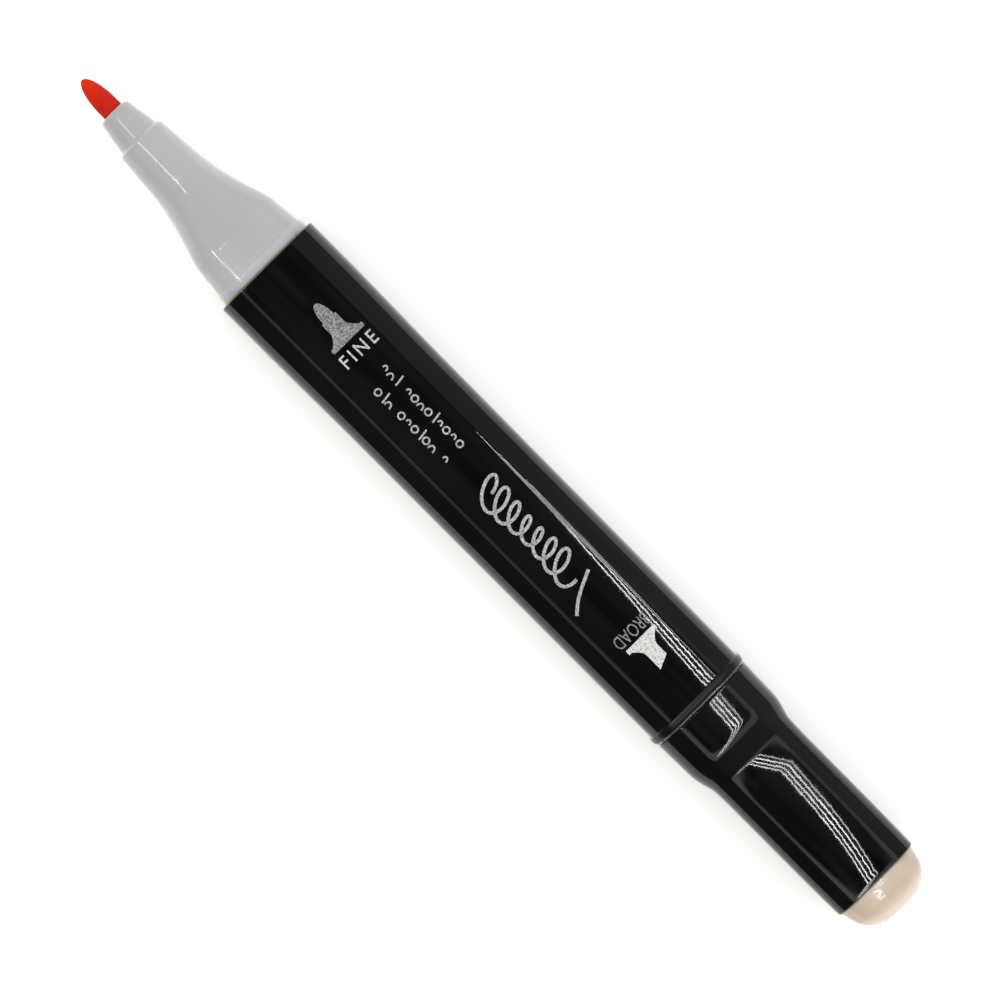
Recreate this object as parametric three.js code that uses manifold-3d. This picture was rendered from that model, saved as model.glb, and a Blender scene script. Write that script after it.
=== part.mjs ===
// A twin-tip art marker that lies on one flat of its rounded-square barrel. The fine bullet tip is
// bare and the broad chisel tip is under its cap.
//
// Millimetres. +X runs along the marker from the fine tip to the capped end, and +Z is up. The
// origin lies on the surface under the middle of the marker's length.
//
// Each end is drawn in its own end frame: x = 0 is the barrel's end face there, and +x points away
// from the barrel.

import * as THREE from "three";
import { mergeVertices } from "three/addons/utils/BufferGeometryUtils.js";
import Module from "manifold-3d";

// Sizes grow from the inside out: each piece that fits round another adds a gap and a wall to it.

// ---- Fits ----
const PRESS_GAP = 0.03; // radial gap of a pressed joint
const SEAT_GAP = 0.02; // gap between two faces that seat on each other
const CORE_GAP = 0.05; // gap between the reservoir core, its film and its seats
const SEAL_GAP = 0.1; // radial gap between the cap's liner and the land it grips
const CAP_GAP = 0.12; // side gap between the cap's mouth and the holder's flange
const SEAM_GAP = 0.25; // visible seam between the barrel and the closed cap

// ---- Reservoir ----
const CORE_RADIUS = 4.7;
const FILM_THICKNESS = 0.15;
const CORE_FINE_REACH = 3.4; // how far the core stands out past the barrel's fine end, inside the holder
const CORE_BROAD_REACH = 2.6; // the same at the broad end
const FILM_RADIUS = CORE_RADIUS + CORE_GAP + FILM_THICKNESS;
const CORE_SEAT_RADIUS = FILM_RADIUS + CORE_GAP;

// ---- Spigots: the round stems that press the holders into the barrel ----
const SPIGOT_LENGTH = 8.0;
const SPIGOT_WALL = 1.02;
const SPIGOT_LEAD = 1.0; // length of the tapered lead-in
const SNAP_PROUD = 0.16; // height of the snap ring
const SNAP_WIDTH = 1.2;
const SNAP_DEPTH = 5.0; // from the barrel's end face to the ring's middle
const SPIGOT_RADIUS = CORE_SEAT_RADIUS + SPIGOT_WALL;

// ---- Barrel ----
const BARREL_LENGTH = 75.3;
const BARREL_WALL = 1.42; // at the middle of a flat, at the broad end
const BARREL_FLAT_HALF = 4.1; // half width of each flat face
const WAIST_RISE = 0.13; // how much wider the barrel is where the flare dies out
const FLARE_RISE = 0.17; // how much the flare adds at the fine end
const FLARE_LENGTH = 9.6; // stretch of constant width at the fine end
const FLARE_EASE = 8.0; // stretch over which the flare dies out
const BEAD_WIDTH = 1.15;
const BEAD_PROUD = 0.19;
const EDGE_ROUND = 0.22; // rounding of the black shells' end edges
const BORE_RADIUS = SPIGOT_RADIUS + PRESS_GAP;
const BARREL_BROAD_HALF = BORE_RADIUS + BARREL_WALL;
const BARREL_WAIST_HALF = BARREL_BROAD_HALF + WAIST_RISE;
const BARREL_FINE_HALF = BARREL_WAIST_HALF + FLARE_RISE;

// ---- Holders, both ends ----
const CAVITY_WALL = 1.2; // wall round the hollow inside a flare
const CORE_STOP = 0.5; // width of the shoulder that stops the reservoir
const HOLDER_FLAT_HALF = 3.25; // half width of the flat faces on flange and base
const FLANGE_STEP = 0.15; // how much wider the flange is than the base
const FLANGE_EDGE = 0.12; // length of the step from flange to base
const NOSE_ROUND = 0.55; // rounding of the front edge

// ---- Fine nib and holder ----
const FINE_NIB_RADIUS = 1.4;
const FINE_NIB_REACH = 5.5; // bare length in front of the collar
const FINE_NIB_POINT = 4.4; // length of the bullet's curve
const FINE_NIB_BITE = 4.4; // depth of the nib's tail in the reservoir
const FINE_GRIP_LENGTH = 8.0; // length of the socket that grips the nib
const COLLAR_FRONT_WALL = 0.8;
const COLLAR_BACK_WALL = 1.48;
const COLLAR_LENGTH = 4.35;
const TUBE_STEP = 0.52; // step up from collar to tube
const TUBE_STEP_LENGTH = 0.6;
const TUBE_TAPER = 0.47; // growth in radius along the tube
const TUBE_LENGTH = 5.9;
const FINE_FLARE_LENGTH = 10.5;
const FLARE_BACK_HANDLE = [3.05, 0.67]; // length and drop of the flare curve's start, at the base
const FLARE_FRONT_HANDLE = [3.15, 0.28]; // length and rise of its end, at the tube
const FINE_BASE_LENGTH = 4.05;
const FINE_BASE_DRAFT = 0.4; // how much the base narrows towards the flare
const FINE_FLANGE_LENGTH = 1.35;
const FINE_FLANGE_LIP = 1.03; // how far the flange stands out past the spigot
const COLLAR_FRONT_RADIUS = FINE_NIB_RADIUS + COLLAR_FRONT_WALL;
const COLLAR_BACK_RADIUS = FINE_NIB_RADIUS + COLLAR_BACK_WALL;
const TUBE_FRONT_RADIUS = COLLAR_BACK_RADIUS + TUBE_STEP;
const TUBE_BACK_RADIUS = TUBE_FRONT_RADIUS + TUBE_TAPER;
const FINE_FLANGE_HALF = SPIGOT_RADIUS + FINE_FLANGE_LIP;
const FINE_BASE_HALF = FINE_FLANGE_HALF - FLANGE_STEP;
const FINE_FLARE_X = FINE_FLANGE_LENGTH + FINE_BASE_LENGTH;
const TUBE_X = FINE_FLARE_X + FINE_FLARE_LENGTH;
const TUBE_STEP_X = TUBE_X + TUBE_LENGTH;
const COLLAR_X = TUBE_STEP_X + TUBE_STEP_LENGTH;
const COLLAR_END_X = COLLAR_X + COLLAR_LENGTH;
const FINE_TIP_X = COLLAR_END_X + FINE_NIB_REACH;

// ---- Broad nib and holder ----
const BROAD_NIB_WIDTH = 6.3;
const BROAD_NIB_THICKNESS = 3.2;
const BROAD_NIB_REACH = 7.4;
const BROAD_NIB_SLANT = 2.4; // how much further forward one corner of the chisel reaches
const BROAD_NIB_BEVEL = 2.9; // length of the bevel on each broad face
const BROAD_NIB_EDGE = 0.9; // thickness left at the chisel's edge
const BROAD_NIB_BITE = 4.0; // depth of the nib's tail in the reservoir
const BROAD_NOSE_WALL = 0.62; // wall outside the socket's corners
const BROAD_NOSE_LENGTH = 3.3;
const LAND_STEP = 0.27; // how much larger the land is than the nose
const LAND_LENGTH = 3.0;
const BROAD_FLARE_LENGTH = 3.5;
const BROAD_BASE_LENGTH = 3.3;
const BROAD_BASE_DRAFT = 0.2;
const BROAD_FLANGE_LENGTH = 1.2;
const BROAD_NOSE_RADIUS =
  Math.hypot(BROAD_NIB_WIDTH, BROAD_NIB_THICKNESS) / 2 + BROAD_NOSE_WALL;
const LAND_RADIUS = BROAD_NOSE_RADIUS + LAND_STEP;
const BROAD_FLARE_X = BROAD_FLANGE_LENGTH + BROAD_BASE_LENGTH;
const LAND_X = BROAD_FLARE_X + BROAD_FLARE_LENGTH;
const BROAD_NOSE_X = LAND_X + LAND_LENGTH;
const BROAD_NOSE_END_X = BROAD_NOSE_X + BROAD_NOSE_LENGTH;
const BROAD_TIP_X = BROAD_NOSE_END_X + BROAD_NIB_REACH;

// ---- Cap ----
const LINER_WALL = 0.75;
const LINER_END = 0.9; // thickness of the liner's closed end
const LINER_LEAD = 0.8; // lead-in chamfer at the liner's mouth
const LINER_TIP_ROOM = 5.3; // room in front of the broad nib
const CAP_WALL = 1.09; // at the middle of a flat, at the outer end
const CAP_NARROW_RISE = 0.06; // how much the narrow part grows towards the neck
const CAP_NECK_RISE = 0.11; // and how much more it grows at the neck
const CAP_NECK_LENGTH = 3.4;
const CAP_SHOULDER_LENGTH = 3.7;
const CAP_WIDE_DRAFT = 0.1; // how much the wide part narrows towards the shoulder
const CAP_MOUTH_SETBACK = 0.02; // how much the mouth is narrower than the barrel
const CAP_MOUTH_WALL = 0.68;
const CAP_CAVITY_ROOM = 0.7; // depth of the square cavity past the holder's base
const CAP_CAVITY_CHAMFER = 2.2;
const CAP_SHOULDER_WALL = 0.4; // how far the wide part runs past the square cavity
const CAP_FLAT_HALF = 3.6;
const PLUG_ROOM = 1.0; // gap between the liner's end and the plug's spigot
const PLUG_SPIGOT_LENGTH = 1.8;
const PLUG_SETBACK = 0.37; // how much narrower the plug is than the cap's end
const PLUG_LENGTH = 4.85;
const PLUG_SIDE_LENGTH = 2.0; // nearly straight side before the dome
const PLUG_SIDE_DRAFT = 0.42;
const DOME_SIDE_HANDLE = [1.6, 0.4]; // length and drop of the dome curve's start
const DOME_TIP_HANDLE = 1.4; // rise of its end, at the flat tip
const DOME_FLAT_SHARE = 0.25; // share of the plug's flats left at the tip
const PLUG_TIP_HALF = 2.4; // half width of the dome's flat end
const PLUG_FLAT_HALF = 2.9;
const LINER_INNER_RADIUS = LAND_RADIUS + SEAL_GAP;
const LINER_RADIUS = LINER_INNER_RADIUS + LINER_WALL;
const CAP_BORE_RADIUS = LINER_RADIUS + PRESS_GAP;
const CAP_END_HALF = CAP_BORE_RADIUS + CAP_WALL;
const CAP_NARROW_HALF = CAP_END_HALF + CAP_NARROW_RISE;
const CAP_NECK_HALF = CAP_NARROW_HALF + CAP_NECK_RISE;
const CAP_MOUTH_HALF = BARREL_BROAD_HALF - CAP_MOUTH_SETBACK;
const CAP_CAVITY_HALF = CAP_MOUTH_HALF - CAP_MOUTH_WALL;
const BROAD_FLANGE_HALF = CAP_CAVITY_HALF - CAP_GAP;
const BROAD_BASE_HALF = BROAD_FLANGE_HALF - FLANGE_STEP;
const CAP_CAVITY_X = BROAD_FLARE_X + CAP_CAVITY_ROOM;
const CAP_SHOULDER_X = CAP_CAVITY_X + CAP_SHOULDER_WALL;
const LINER_MOUTH_X = LAND_X - SEAT_GAP;
const LINER_END_X = BROAD_TIP_X + LINER_TIP_ROOM + LINER_END;
const CAP_END_X = LINER_END_X + PLUG_ROOM + PLUG_SPIGOT_LENGTH;
const PLUG_X = CAP_END_X + SEAT_GAP;
const BROAD_END_X = PLUG_X + PLUG_LENGTH;

// ---- Facets ----
const CORNER_CHORDS = 8; // chords in each quarter of a section, an even number
const ROUND_CHORDS = 4 * CORNER_CHORDS; // so a turned piece has the same chords as a rounded section
const CURVE_CHORDS = 8; // chords in each curve of a profile
const EDGE_CHORDS = 3; // chords in a rounded edge
const CUT_OVERRUN = 1; // how far a cutting solid runs past the face that it opens

// ---- Finishes ----
const FINISHES = {
  black_gloss: { color: 0x0d0e0e, roughness: 0.12, metalness: 0 },
  smoky_plastic: { color: 0xb8b8b7, roughness: 0.3, metalness: 0 },
  beige_plastic: { color: 0xd0bfa8, roughness: 0.3, metalness: 0 },
  liner_plastic: { color: 0xdedede, roughness: 0.4, metalness: 0 },
  inked_fibre: { color: 0xd6301a, roughness: 0.85, metalness: 0 },
  reservoir_fibre: { color: 0xc9402a, roughness: 0.95, metalness: 0 },
  clear_film: { color: 0xe6e0dc, roughness: 0.2, metalness: 0 },
};

const { lerp, smoothstep } = THREE.MathUtils;
const wasm = await Module();
wasm.setup();

// ---- Shaping helpers ----

// The solid that a closed three.js geometry bounds, for cutting and joining.
function solid(geometry) {
  geometry.deleteAttribute("normal");
  geometry.deleteAttribute("uv");
  const merged = mergeVertices(geometry);
  return new wasm.Manifold(
    new wasm.Mesh({
      numProp: 3,
      vertProperties: merged.attributes.position.array,
      triVerts: new Uint32Array(merged.index.array),
    }),
  );
}

// A named mesh of a finished solid.
function piece(name, body, finish) {
  const { vertProperties, triVerts } = body.getMesh();
  const geometry = new THREE.BufferGeometry();
  geometry.setAttribute("position", new THREE.BufferAttribute(vertProperties, 3));
  geometry.setIndex(new THREE.BufferAttribute(triVerts, 1));
  geometry.computeVertexNormals();
  const mesh = new THREE.Mesh(geometry, new THREE.MeshStandardMaterial(FINISHES[finish]));
  mesh.name = name;
  return mesh;
}

// A square of the given half width whose corners are rounded, drawn anticlockwise.
function roundedSquare(half, corner) {
  const quarter = Math.PI / 2;
  const centre = half - corner;
  const shape = new THREE.Shape();
  shape.absarc(centre, centre, corner, 0, quarter);
  shape.absarc(-centre, centre, corner, quarter, 2 * quarter);
  shape.absarc(-centre, -centre, corner, 2 * quarter, 3 * quarter);
  shape.absarc(centre, -centre, corner, 3 * quarter, 4 * quarter);
  return shape.closePath();
}

// A bar along X with rounded-square sections. The profile's points are (x, half width), and flatAt
// gives half the width of the flat faces at each x: zero there makes the section a circle.
function loft(profile, flatAt) {
  const unitCorner = 0.5;
  const bar = new THREE.ExtrudeGeometry(roundedSquare(1, unitCorner), {
    depth: profile.length - 1,
    steps: profile.length - 1,
    bevelEnabled: false,
    curveSegments: CORNER_CHORDS / 2, // three.js gives an arc two chords for each curve segment
  });
  const position = bar.attributes.position;
  for (let i = 0; i < position.count; i++) {
    const { x, y: half } = profile[Math.round(position.getZ(i))];
    const flat = flatAt(x);
    const across = [position.getX(i), position.getY(i)].map((value) => {
      const alongArc = (Math.abs(value) - (1 - unitCorner)) / unitCorner;
      return Math.sign(value) * (flat + (half - flat) * alongArc);
    });
    position.setXYZ(i, x, across[0], across[1]);
  }
  return solid(bar);
}

// A piece turned about X. The profile's points are (x, radius), and it starts and ends on the axis.
function turned(profile) {
  const points = profile.map(({ x, y: radius }) => new THREE.Vector2(Math.max(radius, 0), x));
  return solid(new THREE.LatheGeometry(points, ROUND_CHORDS).rotateZ(-Math.PI / 2));
}

// A turned piece with flat ends, whose side runs straight through the given [x, radius] pairs.
function turnedThrough(...pairs) {
  const side = pairs.map(([x, radius]) => point(x, radius));
  return turned([point(side[0].x, 0), ...side, point(side[side.length - 1].x, 0)]);
}

function point(x, half) {
  return new THREE.Vector2(x, half);
}

// A profile made of points and lists of points, with any point dropped that repeats the one before it.
function outline(...parts) {
  const points = parts.flat();
  return points.filter((next, i) => i === 0 || next.distanceTo(points[i - 1]) > 1e-4);
}

// Profile points of an S-shaped change of half width.
function easedStep(fromX, fromHalf, toX, toHalf) {
  return Array.from({ length: CURVE_CHORDS + 1 }, (_, i) => {
    const share = i / CURVE_CHORDS;
    return point(lerp(fromX, toX, share), lerp(fromHalf, toHalf, smoothstep(share, 0, 1)));
  });
}

// Profile points of the rounded edge where a side meets an end face: facing is 1 at the +x end and
// -1 at the other.
function roundedEdge(endX, half, radius, facing) {
  const edge = Array.from({ length: EDGE_CHORDS + 1 }, (_, i) => {
    const angle = (i / EDGE_CHORDS) * (Math.PI / 2);
    const inset = radius * (1 - Math.sin(angle));
    return point(endX - facing * inset, half - radius * (1 - Math.cos(angle)));
  });
  return facing > 0 ? edge : edge.reverse();
}

// ---- Barrel ----

function barrel() {
  const beadX = BARREL_LENGTH - BEAD_WIDTH;
  const bead = new THREE.EllipseCurve(
    beadX + BEAD_WIDTH / 2,
    BARREL_BROAD_HALF,
    BEAD_WIDTH / 2,
    BEAD_PROUD,
    Math.PI,
    0,
    true,
  );
  const outside = outline(
    roundedEdge(0, BARREL_FINE_HALF, EDGE_ROUND, -1),
    easedStep(FLARE_LENGTH, BARREL_FINE_HALF, FLARE_LENGTH + FLARE_EASE, BARREL_WAIST_HALF),
    bead.getPoints(CURVE_CHORDS),
  );
  const snapGroove = (x) => [
    [x - SNAP_WIDTH / 2, BORE_RADIUS],
    [x, BORE_RADIUS + SNAP_PROUD],
    [x + SNAP_WIDTH / 2, BORE_RADIUS],
  ];
  const bore = turnedThrough(
    [-CUT_OVERRUN, BORE_RADIUS],
    ...snapGroove(SNAP_DEPTH),
    ...snapGroove(BARREL_LENGTH - SNAP_DEPTH),
    [BARREL_LENGTH + CUT_OVERRUN, BORE_RADIUS],
  );
  return piece("barrel", loft(outside, () => BARREL_FLAT_HALF).subtract(bore), "black_gloss");
}

// ---- Reservoir ----

const CORE_START_X = -CORE_FINE_REACH;
const CORE_STOP_X = BARREL_LENGTH + CORE_BROAD_REACH;

function reservoirCore() {
  const fineSocketRadius = FINE_NIB_RADIUS + CORE_GAP;
  const fineSocket = turnedThrough(
    [CORE_START_X - CUT_OVERRUN, fineSocketRadius],
    [CORE_START_X + FINE_NIB_BITE + CORE_GAP, fineSocketRadius],
  );
  const broadSocketX = CORE_STOP_X - BROAD_NIB_BITE - CORE_GAP;
  const broadSocket = nibBar(CORE_STOP_X + CUT_OVERRUN - broadSocketX, CORE_GAP);
  const core = turnedThrough([CORE_START_X, CORE_RADIUS], [CORE_STOP_X, CORE_RADIUS])
    .subtract(fineSocket)
    .subtract(broadSocket.translate([broadSocketX, 0, 0]));
  return piece("reservoir_core", core, "reservoir_fibre");
}

function reservoirWrap() {
  const inside = CORE_RADIUS + CORE_GAP;
  const tube = turnedThrough([CORE_START_X, FILM_RADIUS], [CORE_STOP_X, FILM_RADIUS]).subtract(
    turnedThrough([CORE_START_X - CUT_OVERRUN, inside], [CORE_STOP_X + CUT_OVERRUN, inside]),
  );
  return piece("reservoir_wrap", tube, "clear_film");
}

// ---- Holders and nibs, each drawn in its end frame ----

// The stem that presses into the barrel. It ends inside the flange that it carries.
function spigot(flangeLength) {
  return turnedThrough(
    [-SPIGOT_LENGTH, SPIGOT_RADIUS - SPIGOT_WALL / 3],
    [-SPIGOT_LENGTH + SPIGOT_LEAD, SPIGOT_RADIUS],
    [-SNAP_DEPTH - SNAP_WIDTH / 2, SPIGOT_RADIUS],
    [-SNAP_DEPTH, SPIGOT_RADIUS + SNAP_PROUD],
    [-SNAP_DEPTH + SNAP_WIDTH / 2, SPIGOT_RADIUS],
    [flangeLength / 2, SPIGOT_RADIUS],
  );
}

// The [x, radius] pairs of the seat that holds the reservoir's end and stops it.
function coreSeat(coreReach) {
  const stopX = coreReach + SEAT_GAP;
  return [
    [-SPIGOT_LENGTH - CUT_OVERRUN, CORE_SEAT_RADIUS],
    [stopX, CORE_SEAT_RADIUS],
    [stopX + CORE_STOP, CORE_SEAT_RADIUS - CORE_STOP],
  ];
}

function fineHolder() {
  const baseFrontHalf = FINE_BASE_HALF - FINE_BASE_DRAFT;
  const [backLength, backDrop] = FLARE_BACK_HANDLE;
  const [frontLength, frontRise] = FLARE_FRONT_HANDLE;
  const flare = new THREE.CubicBezierCurve(
    point(FINE_FLARE_X, baseFrontHalf),
    point(FINE_FLARE_X + backLength, baseFrontHalf - backDrop),
    point(TUBE_X - frontLength, TUBE_BACK_RADIUS + frontRise),
    point(TUBE_X, TUBE_BACK_RADIUS),
  );
  const outside = outline(
    point(SEAT_GAP, FINE_FLANGE_HALF),
    point(FINE_FLANGE_LENGTH - FLANGE_EDGE, FINE_FLANGE_HALF),
    point(FINE_FLANGE_LENGTH, FINE_BASE_HALF),
    flare.getPoints(CURVE_CHORDS),
    easedStep(TUBE_STEP_X, TUBE_FRONT_RADIUS, COLLAR_X, COLLAR_BACK_RADIUS),
    roundedEdge(COLLAR_END_X, COLLAR_FRONT_RADIUS, NOSE_ROUND, 1),
  );
  // The flat faces die out along the flare, so that the tube and the collar are round.
  const flatAt = (x) => HOLDER_FLAT_HALF * (1 - smoothstep(x, FINE_FLARE_X, TUBE_X));
  const gripX = COLLAR_END_X - FINE_GRIP_LENGTH;
  const tubeHollow = TUBE_FRONT_RADIUS - CAVITY_WALL;
  const hollow = turnedThrough(
    ...coreSeat(CORE_FINE_REACH),
    [FINE_FLARE_X, CORE_SEAT_RADIUS - CORE_STOP],
    [TUBE_X, tubeHollow],
    [gripX - (tubeHollow - FINE_NIB_RADIUS), tubeHollow],
    [gripX, FINE_NIB_RADIUS + PRESS_GAP],
    [COLLAR_END_X + CUT_OVERRUN, FINE_NIB_RADIUS + PRESS_GAP],
  );
  const body = loft(outside, flatAt).add(spigot(FINE_FLANGE_LENGTH)).subtract(hollow);
  return piece("fine_holder", body, "smoky_plastic");
}

function fineNib() {
  const tailX = CORE_FINE_REACH - FINE_NIB_BITE;
  const bullet = new THREE.EllipseCurve(
    FINE_TIP_X - FINE_NIB_POINT,
    0,
    FINE_NIB_POINT,
    FINE_NIB_RADIUS,
    Math.PI / 2,
    0,
    true,
  );
  const profile = [point(tailX, 0), point(tailX, FINE_NIB_RADIUS), ...bullet.getPoints(CURVE_CHORDS)];
  return piece("fine_nib", turned(profile), "inked_fibre");
}

function broadHolder() {
  const outside = outline(
    point(SEAT_GAP, BROAD_FLANGE_HALF),
    point(BROAD_FLANGE_LENGTH - FLANGE_EDGE, BROAD_FLANGE_HALF),
    point(BROAD_FLANGE_LENGTH, BROAD_BASE_HALF),
    easedStep(BROAD_FLARE_X, BROAD_BASE_HALF - BROAD_BASE_DRAFT, LAND_X, LAND_RADIUS),
    point(BROAD_NOSE_X, LAND_RADIUS),
    roundedEdge(BROAD_NOSE_END_X, BROAD_NOSE_RADIUS, NOSE_ROUND, 1),
  );
  const flatAt = (x) => HOLDER_FLAT_HALF * (1 - smoothstep(x, BROAD_FLARE_X, LAND_X));
  const hollow = turnedThrough(
    ...coreSeat(CORE_BROAD_REACH),
    [LAND_X - CAVITY_WALL, LAND_RADIUS - CAVITY_WALL / 2],
  );
  const socket = nibBar(BROAD_NOSE_END_X + CUT_OVERRUN, PRESS_GAP);
  const shape = loft(outside, flatAt).add(spigot(BROAD_FLANGE_LENGTH));
  const body = shape.subtract(hollow).subtract(socket);
  return piece("broad_holder", body, "smoky_plastic");
}

// A bar from x = 0 with the broad nib's section, grown by a gap on every side.
function nibBar(length, gap) {
  const width = BROAD_NIB_WIDTH + 2 * gap;
  const thickness = BROAD_NIB_THICKNESS + 2 * gap;
  return solid(new THREE.BoxGeometry(length, width, thickness).translate(length / 2, 0, 0));
}

function broadNib() {
  const tailX = CORE_BROAD_REACH - BROAD_NIB_BITE;
  const halfWidth = BROAD_NIB_WIDTH / 2;
  const halfThickness = BROAD_NIB_THICKNESS / 2;
  const halfEdge = BROAD_NIB_EDGE / 2;
  // Seen on its broad face, the tip is cut on a slant.
  const slanted = new THREE.Shape()
    .moveTo(tailX, -halfWidth)
    .lineTo(BROAD_TIP_X - BROAD_NIB_SLANT, -halfWidth)
    .lineTo(BROAD_TIP_X, halfWidth)
    .lineTo(tailX, halfWidth)
    .closePath();
  const plate = new THREE.ExtrudeGeometry(slanted, {
    depth: BROAD_NIB_THICKNESS,
    bevelEnabled: false,
  });
  // Seen from the side, both faces are bevelled to a narrow edge.
  const bevelX = BROAD_TIP_X - BROAD_NIB_BEVEL;
  const wedge = new THREE.Shape()
    .moveTo(tailX - CUT_OVERRUN, -halfThickness)
    .lineTo(bevelX, -halfThickness)
    .lineTo(BROAD_TIP_X, -halfEdge)
    .lineTo(BROAD_TIP_X, halfEdge)
    .lineTo(bevelX, halfThickness)
    .lineTo(tailX - CUT_OVERRUN, halfThickness)
    .closePath();
  const bevelled = new THREE.ExtrudeGeometry(wedge, {
    depth: BROAD_NIB_WIDTH + 2 * CUT_OVERRUN,
    bevelEnabled: false,
  });
  plate.translate(0, 0, -halfThickness);
  bevelled.translate(0, 0, -halfWidth - CUT_OVERRUN).rotateX(Math.PI / 2);
  return piece("broad_nib", solid(plate).intersect(solid(bevelled)), "inked_fibre");
}

// ---- Cap, drawn in the broad end's frame ----

function capShell() {
  const neckX = CAP_SHOULDER_X + CAP_SHOULDER_LENGTH;
  const outside = outline(
    roundedEdge(SEAM_GAP, CAP_MOUTH_HALF, EDGE_ROUND, -1),
    easedStep(CAP_SHOULDER_X, CAP_MOUTH_HALF - CAP_WIDE_DRAFT, neckX, CAP_NECK_HALF),
    point(neckX + CAP_NECK_LENGTH, CAP_NARROW_HALF),
    roundedEdge(CAP_END_X, CAP_END_HALF, EDGE_ROUND, 1),
  );
  const boreX = CAP_CAVITY_X + CAP_CAVITY_CHAMFER;
  const cavity = loft(
    [
      point(SEAM_GAP - CUT_OVERRUN, CAP_CAVITY_HALF),
      point(CAP_CAVITY_X, CAP_CAVITY_HALF),
      point(boreX, CAP_BORE_RADIUS),
    ],
    (x) => (x < boreX ? HOLDER_FLAT_HALF : 0),
  );
  const bore = turnedThrough(
    [boreX - CUT_OVERRUN, CAP_BORE_RADIUS],
    [CAP_END_X + CUT_OVERRUN, CAP_BORE_RADIUS],
  );
  const shell = loft(outside, () => CAP_FLAT_HALF).subtract(cavity).subtract(bore);
  return piece("cap_shell", shell, "black_gloss");
}

function capSealLiner() {
  const lip = LINER_WALL / 3;
  const cup = turnedThrough(
    [LINER_MOUTH_X, LINER_RADIUS - lip],
    [LINER_MOUTH_X + LINER_LEAD, LINER_RADIUS],
    [LINER_END_X - LINER_END, LINER_RADIUS],
    [LINER_END_X, LINER_RADIUS - LINER_END],
  );
  const floorX = LINER_END_X - LINER_END;
  const hollow = turnedThrough(
    [LINER_MOUTH_X - CUT_OVERRUN, LINER_INNER_RADIUS + lip],
    [LINER_MOUTH_X, LINER_INNER_RADIUS + lip],
    [LINER_MOUTH_X + LINER_LEAD, LINER_INNER_RADIUS],
    [floorX - LINER_END, LINER_INNER_RADIUS],
    [floorX, LINER_INNER_RADIUS - LINER_END],
  );
  return piece("cap_seal_liner", cup.subtract(hollow), "liner_plastic");
}

function capEndPlug() {
  const baseHalf = CAP_END_HALF - PLUG_SETBACK;
  const domeX = PLUG_X + PLUG_SIDE_LENGTH;
  const domeHalf = baseHalf - PLUG_SIDE_DRAFT;
  const [sideLength, sideDrop] = DOME_SIDE_HANDLE;
  const dome = new THREE.CubicBezierCurve(
    point(domeX, domeHalf),
    point(domeX + sideLength, domeHalf - sideDrop),
    point(BROAD_END_X, PLUG_TIP_HALF + DOME_TIP_HANDLE),
    point(BROAD_END_X, PLUG_TIP_HALF),
  );
  const outside = [point(PLUG_X, baseHalf), ...dome.getPoints(CURVE_CHORDS)];
  const flatAt = (x) =>
    PLUG_FLAT_HALF * lerp(1, DOME_FLAT_SHARE, smoothstep(x, domeX, BROAD_END_X));
  const stem = turnedThrough(
    [CAP_END_X - PLUG_SPIGOT_LENGTH, LINER_RADIUS],
    [PLUG_X + PLUG_SIDE_LENGTH / 2, LINER_RADIUS],
  );
  return piece("cap_end_plug", loft(outside, flatAt).add(stem), "beige_plastic");
}

// ---- Assembly ----

const fineEnd = new THREE.Group();
fineEnd.rotation.z = Math.PI;
fineEnd.add(fineHolder(), fineNib());

const cap = new THREE.Group();
cap.add(capShell(), capSealLiner(), capEndPlug());

const broadEnd = new THREE.Group();
broadEnd.position.x = BARREL_LENGTH;
broadEnd.add(broadHolder(), broadNib(), cap);

// The axis lies at half the height of the tallest section, and the ends are equally far from the origin.
const assembly = new THREE.Group();
assembly.position.set((FINE_TIP_X - BARREL_LENGTH - BROAD_END_X) / 2, 0, BARREL_FINE_HALF);
assembly.add(barrel(), reservoirCore(), reservoirWrap(), fineEnd, broadEnd);

const marker = new THREE.Group();
marker.add(assembly);

export default marker;
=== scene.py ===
# %% [markdown]
# # A twin-tip art marker
#
# The object is a twin-tip art marker: a black rounded-square barrel, a smoky moulded nose with a bare
# red bullet nib at one end, and a stepped black cap with a beige plug at the other.
#
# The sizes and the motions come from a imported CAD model, the frame. This file dresses that frame: it
# makes the fine, smooth surfaces, the foil print and the finishes, and it never moves a CAD part.
# The frame is loaded first, because every place and most sizes below are read from it.

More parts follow.
